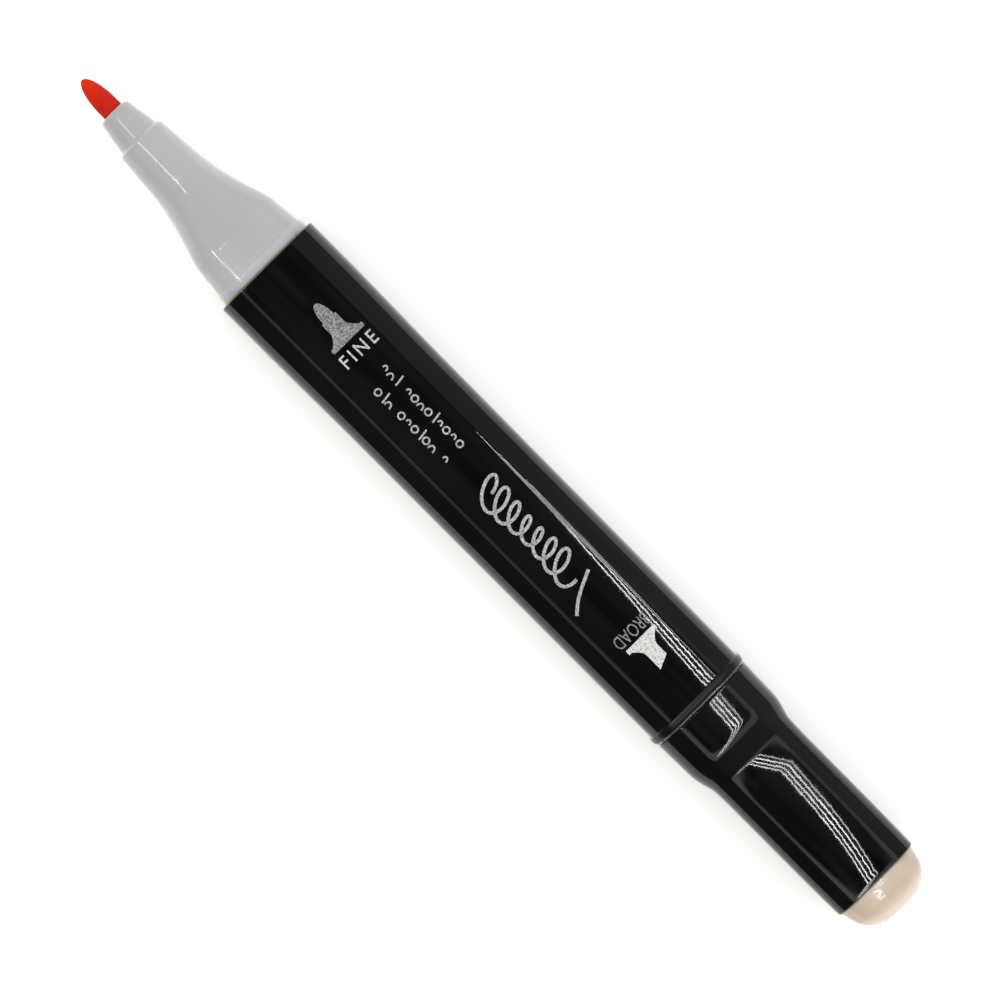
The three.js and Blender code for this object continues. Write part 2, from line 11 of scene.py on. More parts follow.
# %% Load the frame
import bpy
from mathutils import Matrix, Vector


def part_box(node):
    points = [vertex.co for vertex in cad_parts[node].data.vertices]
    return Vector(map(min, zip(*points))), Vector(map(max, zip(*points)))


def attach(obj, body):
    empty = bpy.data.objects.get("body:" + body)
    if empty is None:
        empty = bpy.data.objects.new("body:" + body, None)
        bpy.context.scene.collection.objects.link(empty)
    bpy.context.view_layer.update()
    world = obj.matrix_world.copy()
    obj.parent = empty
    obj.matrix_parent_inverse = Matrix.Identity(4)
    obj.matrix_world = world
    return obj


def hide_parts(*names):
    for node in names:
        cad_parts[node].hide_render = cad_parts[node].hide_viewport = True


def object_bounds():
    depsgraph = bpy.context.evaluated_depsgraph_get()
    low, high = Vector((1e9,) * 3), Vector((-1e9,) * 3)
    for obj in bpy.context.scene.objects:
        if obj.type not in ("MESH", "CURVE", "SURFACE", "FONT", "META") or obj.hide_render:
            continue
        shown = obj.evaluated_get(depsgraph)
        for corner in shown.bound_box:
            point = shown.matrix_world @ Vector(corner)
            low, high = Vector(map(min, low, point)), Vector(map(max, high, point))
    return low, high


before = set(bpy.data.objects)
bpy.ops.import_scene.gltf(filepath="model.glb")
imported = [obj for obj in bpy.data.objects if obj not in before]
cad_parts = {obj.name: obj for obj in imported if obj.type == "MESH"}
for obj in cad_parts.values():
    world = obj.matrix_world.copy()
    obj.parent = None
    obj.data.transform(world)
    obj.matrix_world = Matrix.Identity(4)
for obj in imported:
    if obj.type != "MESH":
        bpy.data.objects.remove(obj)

cad_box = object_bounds()
print("CAD box in metres:", [round(v, 5) for corner in cad_box for v in corner])

# %% [markdown]
# ## Sizes
#
# Blender works in metres, and a marker is drawn in millimetres, so lengths are written as
# `5 * MM`. The marker lies along X. Each end is drawn in its own end frame: x = 0 is the barrel's
# end face there, and x grows away from the barrel, as a person with callipers would measure it.

# %% Read the main sizes from the frame
import math
import random

import bmesh
import bpy
import numpy as np
from mathutils import Matrix, Vector
from mathutils.bvhtree import BVHTree

MM = 0.001
MARKS_SEED = 7

barrel_low, barrel_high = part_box("barrel")
AXIS_Z = (barrel_low.z + barrel_high.z) / 2


def half_width(node):
    """Half of a CAD node's size across the marker."""
    low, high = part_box(node)
    return (high.y - low.y) / 2


def at_fine_end(x):
    """A place in the fine end's frame, as an x of the whole marker."""
    return barrel_low.x - x


def at_broad_end(x):
    """The same for the broad end."""
    return barrel_high.x + x


BARREL_LENGTH = barrel_high.x - barrel_low.x
print(f"barrel {BARREL_LENGTH / MM:.2f} mm long, {2 * half_width('barrel') / MM:.2f} mm wide")

# %% [markdown]
# ## The section: a square with soft corners and slightly crowned faces
#
# Every moulded piece here is a bar whose section changes along its length. Blender could make it
# from a cube with bevels and subdivision, but a subdivision surface gives no direct control over
# how much a face bulges, and on glossy black plastic that bulge decides where each lamp is
# reflected. So the section is drawn as arcs that meet smoothly: a wide flat arc for each face and a
# tight one for each corner. A roundness of 1 turns the same points into a circle, which lets a
# square base flow into a round tube without the mesh ever changing its number of points.

# %% Draw one section
FACE_STEPS = 8  # points from the middle of a face to its edge
CORNER_STEPS = 9  # points from there to the middle of the corner
FACE_BULGE_RADIUS = 58 * MM  # radius of the arc that crowns each face
ROUND_TILT = math.radians(25)  # how much of a circle counts as a face


def all_round(quarter):
    """A closed ring from its first quarter, which runs from +Y to +Z, mirrored three times."""
    return np.concatenate([
        quarter,
        (quarter * [-1, 1])[::-1][1:],
        (quarter * [-1, -1])[1:],
        (quarter * [1, -1])[::-1][1:-1],
    ])


def place(x, ring):
    """The ring's points in space, at x along the marker and around its axis."""
    return np.column_stack([np.full(len(ring), x), ring[:, 0], ring[:, 1] + AXIS_Z])


def section(x, half, flat=0.0, roundness=1.0):
    """The ring at x: half is half the width and flat half the width of each face."""
    bend = (1 - roundness) / FACE_BULGE_RADIUS + roundness / half
    tilt = (1 - roundness) * math.asin(flat / FACE_BULGE_RADIUS) + roundness * ROUND_TILT
    edge_out = half - (1 - math.cos(tilt)) / bend
    edge_along = math.sin(tilt) / bend
    corner = (edge_out - edge_along) / (math.cos(tilt) - math.sin(tilt))
    centre = edge_out - corner * math.cos(tilt)
    face = np.linspace(0, tilt, FACE_STEPS + 1)
    turn = np.linspace(tilt, math.pi / 4, CORNER_STEPS + 1)[1:]
    out = np.concatenate([half - (1 - np.cos(face)) / bend, centre + corner * np.cos(turn)])
    along = np.concatenate([np.sin(face) / bend, centre + corner * np.sin(turn)])
    first = np.column_stack([out, along])
    second = np.column_stack([along, out])[::-1][1:]
    return place(x, all_round(np.concatenate([first, second])))


def slot_section(x, half_y, half_z, corner):
    """The ring of a rectangular slot or bar, with as many points as section() gives."""
    share = np.linspace(0, 1, FACE_STEPS + 1)
    turn = np.linspace(0, math.pi / 4, CORNER_STEPS + 1)[1:]
    bend_y, bend_z = half_y - corner, half_z - corner
    side = np.column_stack([np.full(len(share), half_y), share * bend_z])
    top = np.column_stack([share * bend_y, np.full(len(share), half_z)])
    low_turn = np.column_stack([bend_y + corner * np.cos(turn), bend_z + corner * np.sin(turn)])
    high_turn = np.column_stack([bend_y + corner * np.sin(turn), bend_z + corner * np.cos(turn)])
    second = np.concatenate([top, high_turn])[::-1][1:]
    return place(x, all_round(np.concatenate([side, low_turn, second])))


print("points in a ring:", len(section(0, 7 * MM, 4 * MM, 0)))

# %% [markdown]
# ## From rings to a piece
#
# A lathe or a screw modifier only makes round pieces, and the loft tool of a CAD program has no
# twin in Blender, so the rings are joined with quads by hand. A tube is one loop of rings: along
# the outside, round the end, and back through the bore, which leaves no open edge anywhere.
# Faces are shaded smooth, and only edges that turn more than a set angle stay crisp.

# %% Mesh from points and faces
CRISP_ANGLE = math.radians(29)
MERGE = 1e-4 * MM  # points closer than this become one


def new_piece(name, verts, faces):
    """A mesh object in the scene, with its faces turned outwards."""
    mesh = bpy.data.meshes.new(name)
    mesh.from_pydata([tuple(v) for v in verts], [], faces)
    work = bmesh.new()
    work.from_mesh(mesh)
    bmesh.ops.remove_doubles(work, verts=work.verts, dist=MERGE)
    bmesh.ops.recalc_face_normals(work, faces=work.faces)
    work.to_mesh(mesh)
    work.free()
    mesh.shade_smooth()
    mesh.set_sharp_from_angle(angle=CRISP_ANGLE)
    piece = bpy.data.objects.new(name, mesh)
    bpy.context.scene.collection.objects.link(piece)
    return piece


# %% [markdown]
# A loft takes rings with the same number of points, in order along the piece, and puts one quad
# between each pair of neighbours. A closed end is a fan of triangles round the ring's middle,
# which is enough for the flat ends here.

# %% Join rings into a piece


def loft(name, rings, tube=False):
    """A piece through the rings. A tube's last ring joins its first; else both ends are closed."""
    count, around = len(rings), len(rings[0])
    verts = list(np.concatenate(rings))
    faces = []
    for i in range(count if tube else count - 1):
        a, b = i * around, (i + 1) % count * around
        for k in range(around):
            n = (k + 1) % around
            faces.append((a + k, a + n, b + n, b + k))
    if not tube:
        for ring in (0, count - 1):
            verts.append(rings[ring].mean(axis=0))
            base, hub = ring * around, len(verts) - 1
            faces += [(base + k, base + (k + 1) % around, hub) for k in range(around)]
    return new_piece(name, verts, faces)


print(f"edges that turn more than {math.degrees(CRISP_ANGLE):.0f} degrees stay crisp")

# %% [markdown]
# ## Profiles
#
# A profile is the list of (x, half width) pairs that the rings follow. Four kinds of stretch are
# enough for the whole marker: a straight run, an eased step, a free curve with two handles, and a
# rounded edge. Steps are short where light bends quickly and long where nothing happens.

# %% The four kinds of stretch
EDGE_STEPS = 7
CURVE_STEPS = 26


def ease(share):
    """0 to 1 with a level start and end."""
    share = np.clip(share, 0, 1)
    return share * share * (3 - 2 * share)


def straight(start, end, step=0.6 * MM):
    """A straight run between two (x, half) pairs, with points about a step apart."""
    count = max(1, round(abs(end[0] - start[0]) / step))
    share = np.linspace(0, 1, count + 1)[:, None]
    return list(np.array(start) * (1 - share) + np.array(end) * share)


def eased(start, end):
    """An S-shaped change of width."""
    share = np.linspace(0, 1, CURVE_STEPS + 1)
    xs = start[0] + (end[0] - start[0]) * share
    halves = start[1] + (end[1] - start[1]) * ease(share)
    return list(np.column_stack([xs, halves]))


def handled(start, first, second, end):
    """A cubic curve pulled by two handles."""
    t = np.linspace(0, 1, CURVE_STEPS + 1)[:, None]
    points = [np.array(p) for p in (start, first, second, end)]
    weights = [(1 - t) ** 3, 3 * t * (1 - t) ** 2, 3 * t * t * (1 - t), t ** 3]
    return list(sum(w * p for w, p in zip(weights, points)))


def rounded_edge(end_x, half, radius, facing):
    """The rounding where a side meets an end face, which looks along +x if facing is 1."""
    angle = np.linspace(0, math.pi / 2, EDGE_STEPS + 1)
    xs = end_x - facing * radius * (1 - np.sin(angle))
    edge = list(np.column_stack([xs, half - radius * (1 - np.cos(angle))]))
    return edge if facing > 0 else edge[::-1]


def rings_along(profile, to_x, flat=0.0, roundness=1.0):
    """One ring for each pair of a profile. Flat and roundness may be functions of x."""
    made = []
    for x, half in profile:
        face = flat(x) if callable(flat) else flat
        turn = roundness(x) if callable(roundness) else roundness
        made.append(section(to_x(x), half, face, turn))
    return made


print("points in a free curve:", CURVE_STEPS + 1)

# %% [markdown]
# ## Shader maths as Python
#
# A node tree is hard to read as code. The class below wraps one socket of a node and gives it
# Python's operators, so that `1 - mask` adds the Math node it needs. Colours and vectors go through
# Mix and Vector Math instead, because a Math node would turn a colour grey.

# %% A socket that understands plus, minus and times


class Wire:
    """One output socket, which can be used in Python sums."""

    def __init__(self, socket):
        self.socket = socket
        self.tree = socket.id_data

    def _sum(self, operation, first, second):
        vector = self.socket.type == "VECTOR"
        kind = "ShaderNodeVectorMath" if vector else "ShaderNodeMath"
        node = self.tree.nodes.new(kind)
        node.operation = operation
        for slot, value in enumerate((first, second)):
            if isinstance(value, Wire):
                self.tree.links.new(value.socket, node.inputs[slot])
            else:
                node.inputs[slot].default_value = (value,) * 3 if vector else value
        return Wire(node.outputs[0])

    def __add__(self, other):
        return self._sum("ADD", self, other)

    def __radd__(self, other):
        return self._sum("ADD", other, self)

    def __sub__(self, other):
        return self._sum("SUBTRACT", self, other)

    def __rsub__(self, other):
        return self._sum("SUBTRACT", other, self)

    def __mul__(self, other):
        return self._sum("MULTIPLY", self, other)

    def __rmul__(self, other):
        return self._sum("MULTIPLY", other, self)


# %% [markdown]
# ## A finish and its nodes
#
# Every other node comes from one method, `add`, which sets the node's own settings first and its
# sockets after, because some settings change which sockets a node has. The other methods are the
# few patterns that come back in every finish: cloudy noise, a soft threshold, a blend of two
# colours, a bump and the Principled shader itself.

# %% A finish and its nodes


class Finish:
    """A material, or the world, and the few nodes that every finish here needs."""

    def __init__(self, owner):
        owner.use_nodes = True
        self.owner = owner
        self.tree = owner.node_tree
        self.tree.nodes.clear()

    def add(self, kind, settings=None, sockets=None, output=0):
        """A node of any kind: its settings, then the values or wires of its sockets."""
        node = self.tree.nodes.new(kind)
        for name, value in (settings or {}).items():
            setattr(node, name, value)
        for name, value in (sockets or {}).items():
            if isinstance(value, Wire):
                self.tree.links.new(value.socket, node.inputs[name])
            else:
                node.inputs[name].default_value = value
        return Wire(node.outputs[output]) if len(node.outputs) else node

    def place(self):
        """The place on the piece, in metres, which moves with the piece."""
        return self.add("ShaderNodeTexCoord", output="Object")

    def noise(self, where, size, detail=2.0, stretch=(1, 1, 1)):
        """Cloudy values round 0.5 whose blobs are about `size` across."""
        scaled = self.add(
            "ShaderNodeVectorMath",
            {"operation": "MULTIPLY"},
            {0: where, 1: tuple(1 / (size * s) for s in stretch)},
        )
        settings = {"noise_dimensions": "3D"}
        return self.add("ShaderNodeTexNoise", settings, {"Vector": scaled, "Scale": 1.0, "Detail": detail})

    def ramp(self, value, low, high, from_value=0.0, to_value=1.0):
        """from_value below low, to_value above high, and a smooth change between them."""
        sockets = {"Value": value, "From Min": low, "From Max": high}
        sockets |= {"To Min": from_value, "To Max": to_value}
        return self.add("ShaderNodeMapRange", {"interpolation_type": "SMOOTHSTEP"}, sockets)

    def blend(self, share, first, second):
        """A colour between two colours."""
        sockets = {0: share, 6: as_colour(first), 7: as_colour(second)}
        return self.add("ShaderNodeMix", {"data_type": "RGBA"}, sockets, output=2)

    def bump(self, height):
        """A normal bent by a height in metres."""
        return self.add("ShaderNodeBump", None, {"Height": height, "Distance": 1.0})

    def surface(self, **sockets):
        """The Principled shader, with socket names written in small letters."""
        named = {}
        for key, value in sockets.items():
            socket = key.replace("_", " ").title().replace("Ior", "IOR")
            named[socket] = value if "Radius" in socket else as_colour(value)
        shader = self.add("ShaderNodeBsdfPrincipled", None, named)
        self.add("ShaderNodeOutputMaterial", None, {"Surface": shader})
        return self.owner


def as_colour(value):
    """A red, green, blue triple gets the alpha that a colour socket wants."""
    return (*value, 1.0) if isinstance(value, tuple) and len(value) == 3 else value


def new_finish(name):
    """An empty material, ready for nodes."""
    return Finish(bpy.data.materials.new(name))


FINISHES = {}


def keep_finish(slot, material):
    """Files a material under the name of its slot."""
    FINISHES[slot] = material
    print(f"{slot}: {len(material.node_tree.nodes)} nodes")


# %% [markdown]
# ## Black polished plastic
#
# The barrel and the cap are moulded in black plastic against a polished steel mould. Such a surface
# is never a perfect mirror: it has a faint orange peel about a millimetre across, slow waves
# where the plastic shrank, and the greasy touch of fingers. The colour is almost nothing. What the
# eye sees is the room, so the finish is made of small heights and a little roughness. Only a thin
# olive line on the edge rounds at the barrel's front and the cap's end is a painted reflection.

# %% Black gloss


def black_gloss():
    finish = new_finish("black_gloss_plastic")
    where = finish.place()
    peel = finish.noise(where, 0.75 * MM, detail=1)
    waves = finish.noise(where, 7 * MM, detail=0, stretch=(1.6, 1, 1))
    touch = finish.noise(where, 11 * MM, detail=4)
    dust = finish.ramp(finish.noise(where, 0.35 * MM, detail=1), 0.72, 0.8)
    height = peel * (0.95e-6) + waves * (3.5e-6)
    tone = finish.ramp(touch, 0.3, 0.8)
    deep = finish.blend(tone, (0.0022, 0.0025, 0.0024), (0.0042, 0.0044, 0.0042))
    x = finish.add("ShaderNodeSeparateXYZ", None, {0: where}, output="X")
    # A thin olive line on the edge rounds at the barrel's front and the cap's end: a painted reflection.
    front = barrel_low.x
    painted_edge_reflection = finish.ramp(x, front + 0.01 * MM, front + 0.04 * MM)
    painted_edge_reflection = painted_edge_reflection * finish.ramp(x, front + 0.12 * MM, front + 0.22 * MM, 1.0, 0.0)
    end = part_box("cap_shell")[1].x
    painted_end_reflection = finish.ramp(x, end - 0.22 * MM, end - 0.12 * MM)
    painted_edge_reflection = painted_edge_reflection + painted_end_reflection * finish.ramp(x, end - 0.04 * MM, end - 0.01 * MM, 1.0, 0.0)
    bead = finish.ramp(x, barrel_high.x - 1.1 * MM, barrel_high.x - 0.95 * MM)
    bead = bead * finish.ramp(x, barrel_high.x - 0.2 * MM, barrel_high.x - 0.05 * MM, 1.0, 0.0)
    rough = 0.022 + finish.ramp(touch, 0.45, 0.75) * 0.02 + dust * 0.06 + bead * 0.3
    colour = finish.blend(painted_edge_reflection * 0.8, deep, (0.16, 0.17, 0.05))
    return finish.surface(
        base_color=colour, roughness=rough, normal=finish.bump(height), ior=1.46
    )


keep_finish("black_gloss", black_gloss())

# %% [markdown]
# ## Smoky plastic
#
# The nose is moulded in translucent plastic with a little pigment. Light enters, scatters and
# leaves again close by, which softens the edges. Subsurface scattering on the Principled shader
# does that with one constant weight and a short radius. The pigment is slightly cloudy, and ink
# has crept a little way onto the front of the nose. The flange is painted paler and a little
# lilac: painted light on the same moulding.

# %% Smoky plastic
NOSE_FRONT_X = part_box("fine_holder")[0].x


def smoky_plastic():
    finish = new_finish("smoky_translucent_plastic")
    where = finish.place()
    x = finish.add("ShaderNodeSeparateXYZ", None, {0: where}, output="X")
    cloud = finish.noise(where, 7 * MM, detail=0)
    grain = finish.noise(where, 0.25 * MM, detail=2)
    clear = finish.blend(finish.ramp(cloud, 0.2, 0.8), (0.383, 0.39, 0.393), (0.4, 0.407, 0.411))
    near_nib = finish.ramp(x, NOSE_FRONT_X, NOSE_FRONT_X + 1.6 * MM, 1.0, 0.0)
    speckle = finish.ramp(finish.noise(where, 0.5 * MM, detail=3), 0.5, 0.66)
    inked = finish.blend(near_nib * speckle * 0.18, clear, (0.55, 0.22, 0.24))
    # The flange band is painted paler and a little lilac: painted light.
    flange = finish.ramp(x, barrel_low.x - 1.5 * MM, barrel_low.x - 1.3 * MM)
    colour = finish.blend(flange * 0.7, inked, (0.435, 0.425, 0.45))
    rough = 0.1 + finish.ramp(cloud, 0.3, 0.8) * 0.04
    return finish.surface(
        base_color=colour,
        roughness=rough,
        normal=finish.bump(grain * (0.7e-6)),
        ior=1.46,
        subsurface_weight=0.35,
        subsurface_radius=(1.0, 1.0, 1.0),
        subsurface_scale=0.8 * MM,
        sheen_weight=0.9,
        sheen_roughness=0.35,
    )


keep_finish("smoky_plastic", smoky_plastic())

# %% [markdown]
# ## Beige plastic
#
# The plug is the same kind of plastic, pigmented beige and a little glossier. It looks paler
# towards its tip, where more light comes through, and greyer where it sits against the black cap.
# Glass with volume absorption would do this by itself, but slowly and with noise, so the two
# tints are painted along the plug's length instead.

# %% Beige plastic
PLUG_SEAT_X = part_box("cap_shell")[1].x


def beige_plastic():
    finish = new_finish("beige_translucent_plastic")
    where = finish.place()
    x = finish.add("ShaderNodeSeparateXYZ", None, {0: where}, output="X")
    cloud = finish.noise(where, 4 * MM, detail=3)
    body = finish.blend(finish.ramp(cloud, 0.3, 0.7), (0.48, 0.385, 0.3), (0.53, 0.43, 0.335))
    tip = finish.ramp(x, PLUG_SEAT_X + 2.2 * MM, PLUG_SEAT_X + 4.6 * MM)
    paler = finish.blend(tip * 0.8, body, (0.8, 0.68, 0.6))
    seat = finish.ramp(x, PLUG_SEAT_X, PLUG_SEAT_X + 1.1 * MM, 1.0, 0.0)
    colour = finish.blend(seat * 0.75, paler, (0.5, 0.43, 0.42))
    grain = finish.noise(where, 1.1 * MM, detail=1)
    return finish.surface(
        base_color=colour,
        roughness=0.04 + finish.ramp(cloud, 0.3, 0.8) * 0.03,
        normal=finish.bump(grain * (6e-6)),
        ior=1.46,
        subsurface_weight=0.35,
        subsurface_radius=(1.0, 0.8, 0.6),
        subsurface_scale=1.0 * MM,
    )


keep_finish("beige_plastic", beige_plastic())

# %% [markdown]
# ## Soft white plastic
#
# The seal in the cap is unpigmented soft plastic, matt and waxy. It needs a high roughness and
# more scattering than the harder plastics, and nothing else.

# %% Soft white plastic


def liner_plastic():
    finish = new_finish("soft_white_plastic")
    where = finish.place()
    cloud = finish.noise(where, 3 * MM, detail=3)
    colour = finish.blend(finish.ramp(cloud, 0.3, 0.7), (0.66, 0.66, 0.65), (0.74, 0.74, 0.73))
    return finish.surface(
        base_color=colour,
        roughness=0.38 + finish.ramp(cloud, 0.3, 0.8) * 0.08,
        normal=finish.bump(finish.noise(where, 0.3 * MM) * (1e-6)),
        subsurface_weight=0.4,
        subsurface_radius=(1.0, 1.0, 1.0),
        subsurface_scale=1.0 * MM,
    )


keep_finish("liner_plastic", liner_plastic())

# %% [markdown]
# ## Inked fibre
#
# A nib is a bundle of fine polyester threads pressed together and soaked with ink. It has no
# gloss; the threads run along the nib, so the noise that makes their relief is stretched along X.
# The wetter part near the nose is a deeper red. The tip is painted paler, a painted stand-in
# for the light that shines through it.

# %% Inked fibre
NIB_TIP_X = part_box("fine_nib")[0].x


def inked_fibre():
    finish = new_finish("inked_fibre")
    where = finish.place()
    x = finish.add("ShaderNodeSeparateXYZ", None, {0: where}, output="X")
    threads = finish.noise(where, 0.09 * MM, detail=2, stretch=(12, 1, 1))
    blotch = finish.noise(where, 0.9 * MM, detail=3)
    # Deeper red towards the wetter base, and painted paler towards the tip: painted light shining through
    # it.
    tip = finish.ramp(x, NIB_TIP_X, NIB_TIP_X + 4.5 * MM, 1.0, 0.0)
    wet_base_lit_tip = finish.blend(tip, (0.45, 0.01, 0.005), (0.6, 0.022, 0.004))
    dark = finish.blend(finish.ramp(blotch, 0.35, 0.75) * 0.22, wet_base_lit_tip, (0.36, 0.007, 0.005))
    colour = finish.blend(finish.ramp(threads, 0.35, 0.7) * 0.12, dark, (0.68, 0.05, 0.008))
    return finish.surface(
        base_color=colour,
        roughness=0.62 + threads * 0.2,
        normal=finish.bump(threads * (14e-6) + blotch * (8e-6)),
        specular_ior_level=0.1,
    )


keep_finish("inked_fibre", inked_fibre())

# %% [markdown]
# ## Reservoir fibre and its film
#
# The reservoir is a loose bundle of strands, so its relief is coarser than the nib's and it has
# no shine. The film round it is thin and clear: a low alpha is cheaper than real glass and is
# right for a sheet with no visible thickness.

# %% Reservoir fibre and its film


def reservoir_fibre():
    finish = new_finish("soaked_reservoir_fibre")
    where = finish.place()
    strands = finish.noise(where, 0.2 * MM, detail=3, stretch=(25, 1, 1))
    colour = finish.blend(finish.ramp(strands, 0.3, 0.7), (0.45, 0.02, 0.012), (0.68, 0.09, 0.04))
    return finish.surface(
        base_color=colour, roughness=0.8 + strands * 0.15, normal=finish.bump(strands * (30e-6))
    )


def clear_film():
    finish = new_finish("clear_film")
    where = finish.place()
    crease = finish.noise(where, 2 * MM, detail=3, stretch=(4, 1, 1))
    colour = finish.blend(finish.ramp(crease, 0.3, 0.7), (0.75, 0.7, 0.68), (0.85, 0.8, 0.78))
    return finish.surface(
        base_color=colour,
        roughness=0.12 + crease * 0.1,
        normal=finish.bump(crease * (20e-6)),
        alpha=0.45,
    )


keep_finish("reservoir_fibre", reservoir_fibre())
keep_finish("clear_film", clear_film())

# %% [markdown]
# ## Silver foil
#
# The print is hot-stamped foil: a metal film a few thousandths of a millimetre thick, pressed on
# with a heated die. It takes the grain of the die and misses a speck here and there. The foil comes
# in four grades, which are lighter and darker copies of one foil: the lighter ones are painted
# highlight, for marks that lie where the lamps are reflected, and the darkest is painted shade.
# One tone sets both the grey and the metalness. The brightest grade acts as metal, and its
# middling roughness spreads each lamp over the grain. The darkest grade acts mostly as grey paint.
# Real foil is metal in every grade, so a stricter version would keep the metalness at 1 and make
# only the colour darker.

# %% Silver foil


def silver_foil(name, dull, bright):
    """Foil whose grain goes from dull to bright. The brighter it is, the more it acts as metal."""
    finish = new_finish(name)
    where = finish.place()
    grain = finish.noise(where, 0.17 * MM, detail=3)
    wear_and_shade = finish.ramp(finish.noise(where, 0.22 * MM, detail=4), 0.53, 0.62)
    tone = finish.ramp(grain, 0.38, 0.62, dull, bright)
    colour = finish.blend(wear_and_shade * 0.6, tone, (0.06, 0.06, 0.06))
    return finish.surface(
        base_color=colour,
        metallic=tone - wear_and_shade * 0.3,
        roughness=0.42 + wear_and_shade * 0.2,
        normal=finish.bump(grain * (12e-6)),
    )


# One foil in four lighter and darker copies: painted highlight in the lighter grades, painted shade in the
# darkest.
keep_finish("silver_foil", silver_foil("silver_foil", 0.08, 0.34))
FOILS = {
    "wear_and_shade": FINISHES["silver_foil"],
    "plain": silver_foil("plain_silver_foil", 0.24, 0.58),
    "bright": silver_foil("bright_silver_foil", 0.45, 0.8),
    "highlit": silver_foil("highlit_silver_foil", 0.78, 1.0),
}
print("grades of foil:", ", ".join(FOILS))

# %% [markdown]
# ## Tying a piece to the frame
#
# Each finished piece takes its finish, rides on a CAD body so that it moves with the joints, and
# hides the CAD node that it stands for. The distance printed is the largest one between the smooth
# piece and the surface of the faceted CAD solid that it replaces, to either side.

# %% Dress a piece
EVERY = 5  # only every fifth point is measured, which is quick and close enough


def largest_stray(piece, node):
    """The largest distance from the piece's points to the CAD node's surface."""
    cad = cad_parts[node].data
    tree = BVHTree.FromPolygons([v.co for v in cad.vertices], [p.vertices for p in cad.polygons])
    return max(tree.find_nearest(v.co)[3] for v in list(piece.data.vertices)[::EVERY])


def dress(piece, slot, body, *nodes):
    """Gives the piece its finish and its body, and hides the CAD nodes that it stands for."""
    piece.data.materials.append(FINISHES[slot])
    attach(piece, body)
    for node in nodes:
        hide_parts(node)
        stray = largest_stray(piece, node) / MM
        print(f"{piece.name}: {len(piece.data.polygons)} faces, strays {stray:.2f} mm")
    return piece


# %% [markdown]
# ## The barrel
#
# The barrel is a rounded-square tube. It flares very slightly at the fine end, tapers a tenth of a
# millimetre towards the cap, and ends in a small half-round bead. Its bore is round, because the
# noses press into it with round spigots, and it has a groove near each end for their snap rings.

# %% Barrel
BARREL_FLAT = 4.1 * MM
FOIL_PROUD = 0.012 * MM
BARREL_FINE_HALF = half_width("barrel") - FOIL_PROUD
WAIST_HALF = BARREL_FINE_HALF - 0.17 * MM
BROAD_HALF = WAIST_HALF - 0.13 * MM
FLARE_END = 6 * MM
FLARE_DIES = 24 * MM
BEAD_WIDTH = 1.15 * MM
BEAD_PROUD = 0.19 * MM
EDGE_ROUND = 0.22 * MM
SPIGOT_RADIUS = 5.97 * MM
BORE_RADIUS = SPIGOT_RADIUS + 0.03 * MM
SNAP_DEPTH = 5.0 * MM  # from the barrel's end face to the middle of the snap ring
SNAP_WIDTH = 1.2 * MM
SNAP_PROUD = 0.16 * MM


def half_round(start_x, width, half, proud):
    """A half-round bead that stands on a side of the given half width."""
    angle = np.linspace(math.pi, 0, 2 * EDGE_STEPS + 1)
    xs = start_x + width / 2 * (1 + np.cos(angle))
    return list(np.column_stack([xs, half + proud * np.sin(angle)]))


def snap(x, radius):
    """A low pointed ring at x, which a spigot carries and the bore has a groove for."""
    return [(x + SNAP_WIDTH / 2, radius), (x, radius + SNAP_PROUD), (x - SNAP_WIDTH / 2, radius)]


bead_x = BARREL_LENGTH - BEAD_WIDTH
barrel_outside = [
    *rounded_edge(0, BARREL_FINE_HALF, EDGE_ROUND, -1),
    *straight((0.6 * MM, BARREL_FINE_HALF), (FLARE_END - 0.4 * MM, BARREL_FINE_HALF)),
    *eased((FLARE_END, BARREL_FINE_HALF), (FLARE_DIES, WAIST_HALF)),
    *straight((FLARE_DIES + 0.5 * MM, WAIST_HALF), (bead_x - 0.2 * MM, BROAD_HALF)),
    *half_round(bead_x, BEAD_WIDTH, BROAD_HALF, BEAD_PROUD),
]


def barrel_place(x):
    """The barrel is drawn from its fine end towards its broad end."""
    return barrel_low.x + x


bore = [
    (BARREL_LENGTH, BORE_RADIUS),
    *snap(BARREL_LENGTH - SNAP_DEPTH, BORE_RADIUS),
    *snap(SNAP_DEPTH, BORE_RADIUS),
    (0, BORE_RADIUS),
]
barrel_rings = rings_along(barrel_outside, barrel_place, BARREL_FLAT, 0.0)
barrel_rings += rings_along(bore, barrel_place)
dress(loft("barrel_shell", barrel_rings, tube=True), "black_gloss", "barrel", "barrel")

# %% [markdown]
# ## The fine nose
#
# One moulding: a flange that seats on the barrel, a square base, a flare that sheds its flat faces
# on the way down, a round tube, a short step and the collar that grips the nib. Its sizes are set
# first, each from the one before it, so that one change moves all that follows.

# %% Sizes of the fine nose
HOLDER_FLAT = 3.25 * MM
FLANGE_HALF = half_width("fine_holder")
BASE_HALF = FLANGE_HALF - 0.15 * MM
BASE_FRONT_HALF = BASE_HALF - 0.4 * MM
NIB_RADIUS = half_width("fine_nib")
COLLAR_FRONT = NIB_RADIUS + 0.8 * MM
COLLAR_BACK = NIB_RADIUS + 1.48 * MM
TUBE_FRONT = COLLAR_BACK + 0.52 * MM
TUBE_BACK = TUBE_FRONT + 0.47 * MM
NOSE_LENGTH = barrel_low.x - NOSE_FRONT_X
COLLAR_X = NOSE_LENGTH - 4.35 * MM
TUBE_STEP_X = COLLAR_X - 0.6 * MM
TUBE_X = TUBE_STEP_X - 5.9 * MM
FLARE_X = TUBE_X - 10.5 * MM
FLANGE_LENGTH = 1.35 * MM
SPIGOT_LENGTH = 8.0 * MM
SEAT = 0.02 * MM
print(f"the nose stands {NOSE_LENGTH / MM:.2f} mm out of the barrel")

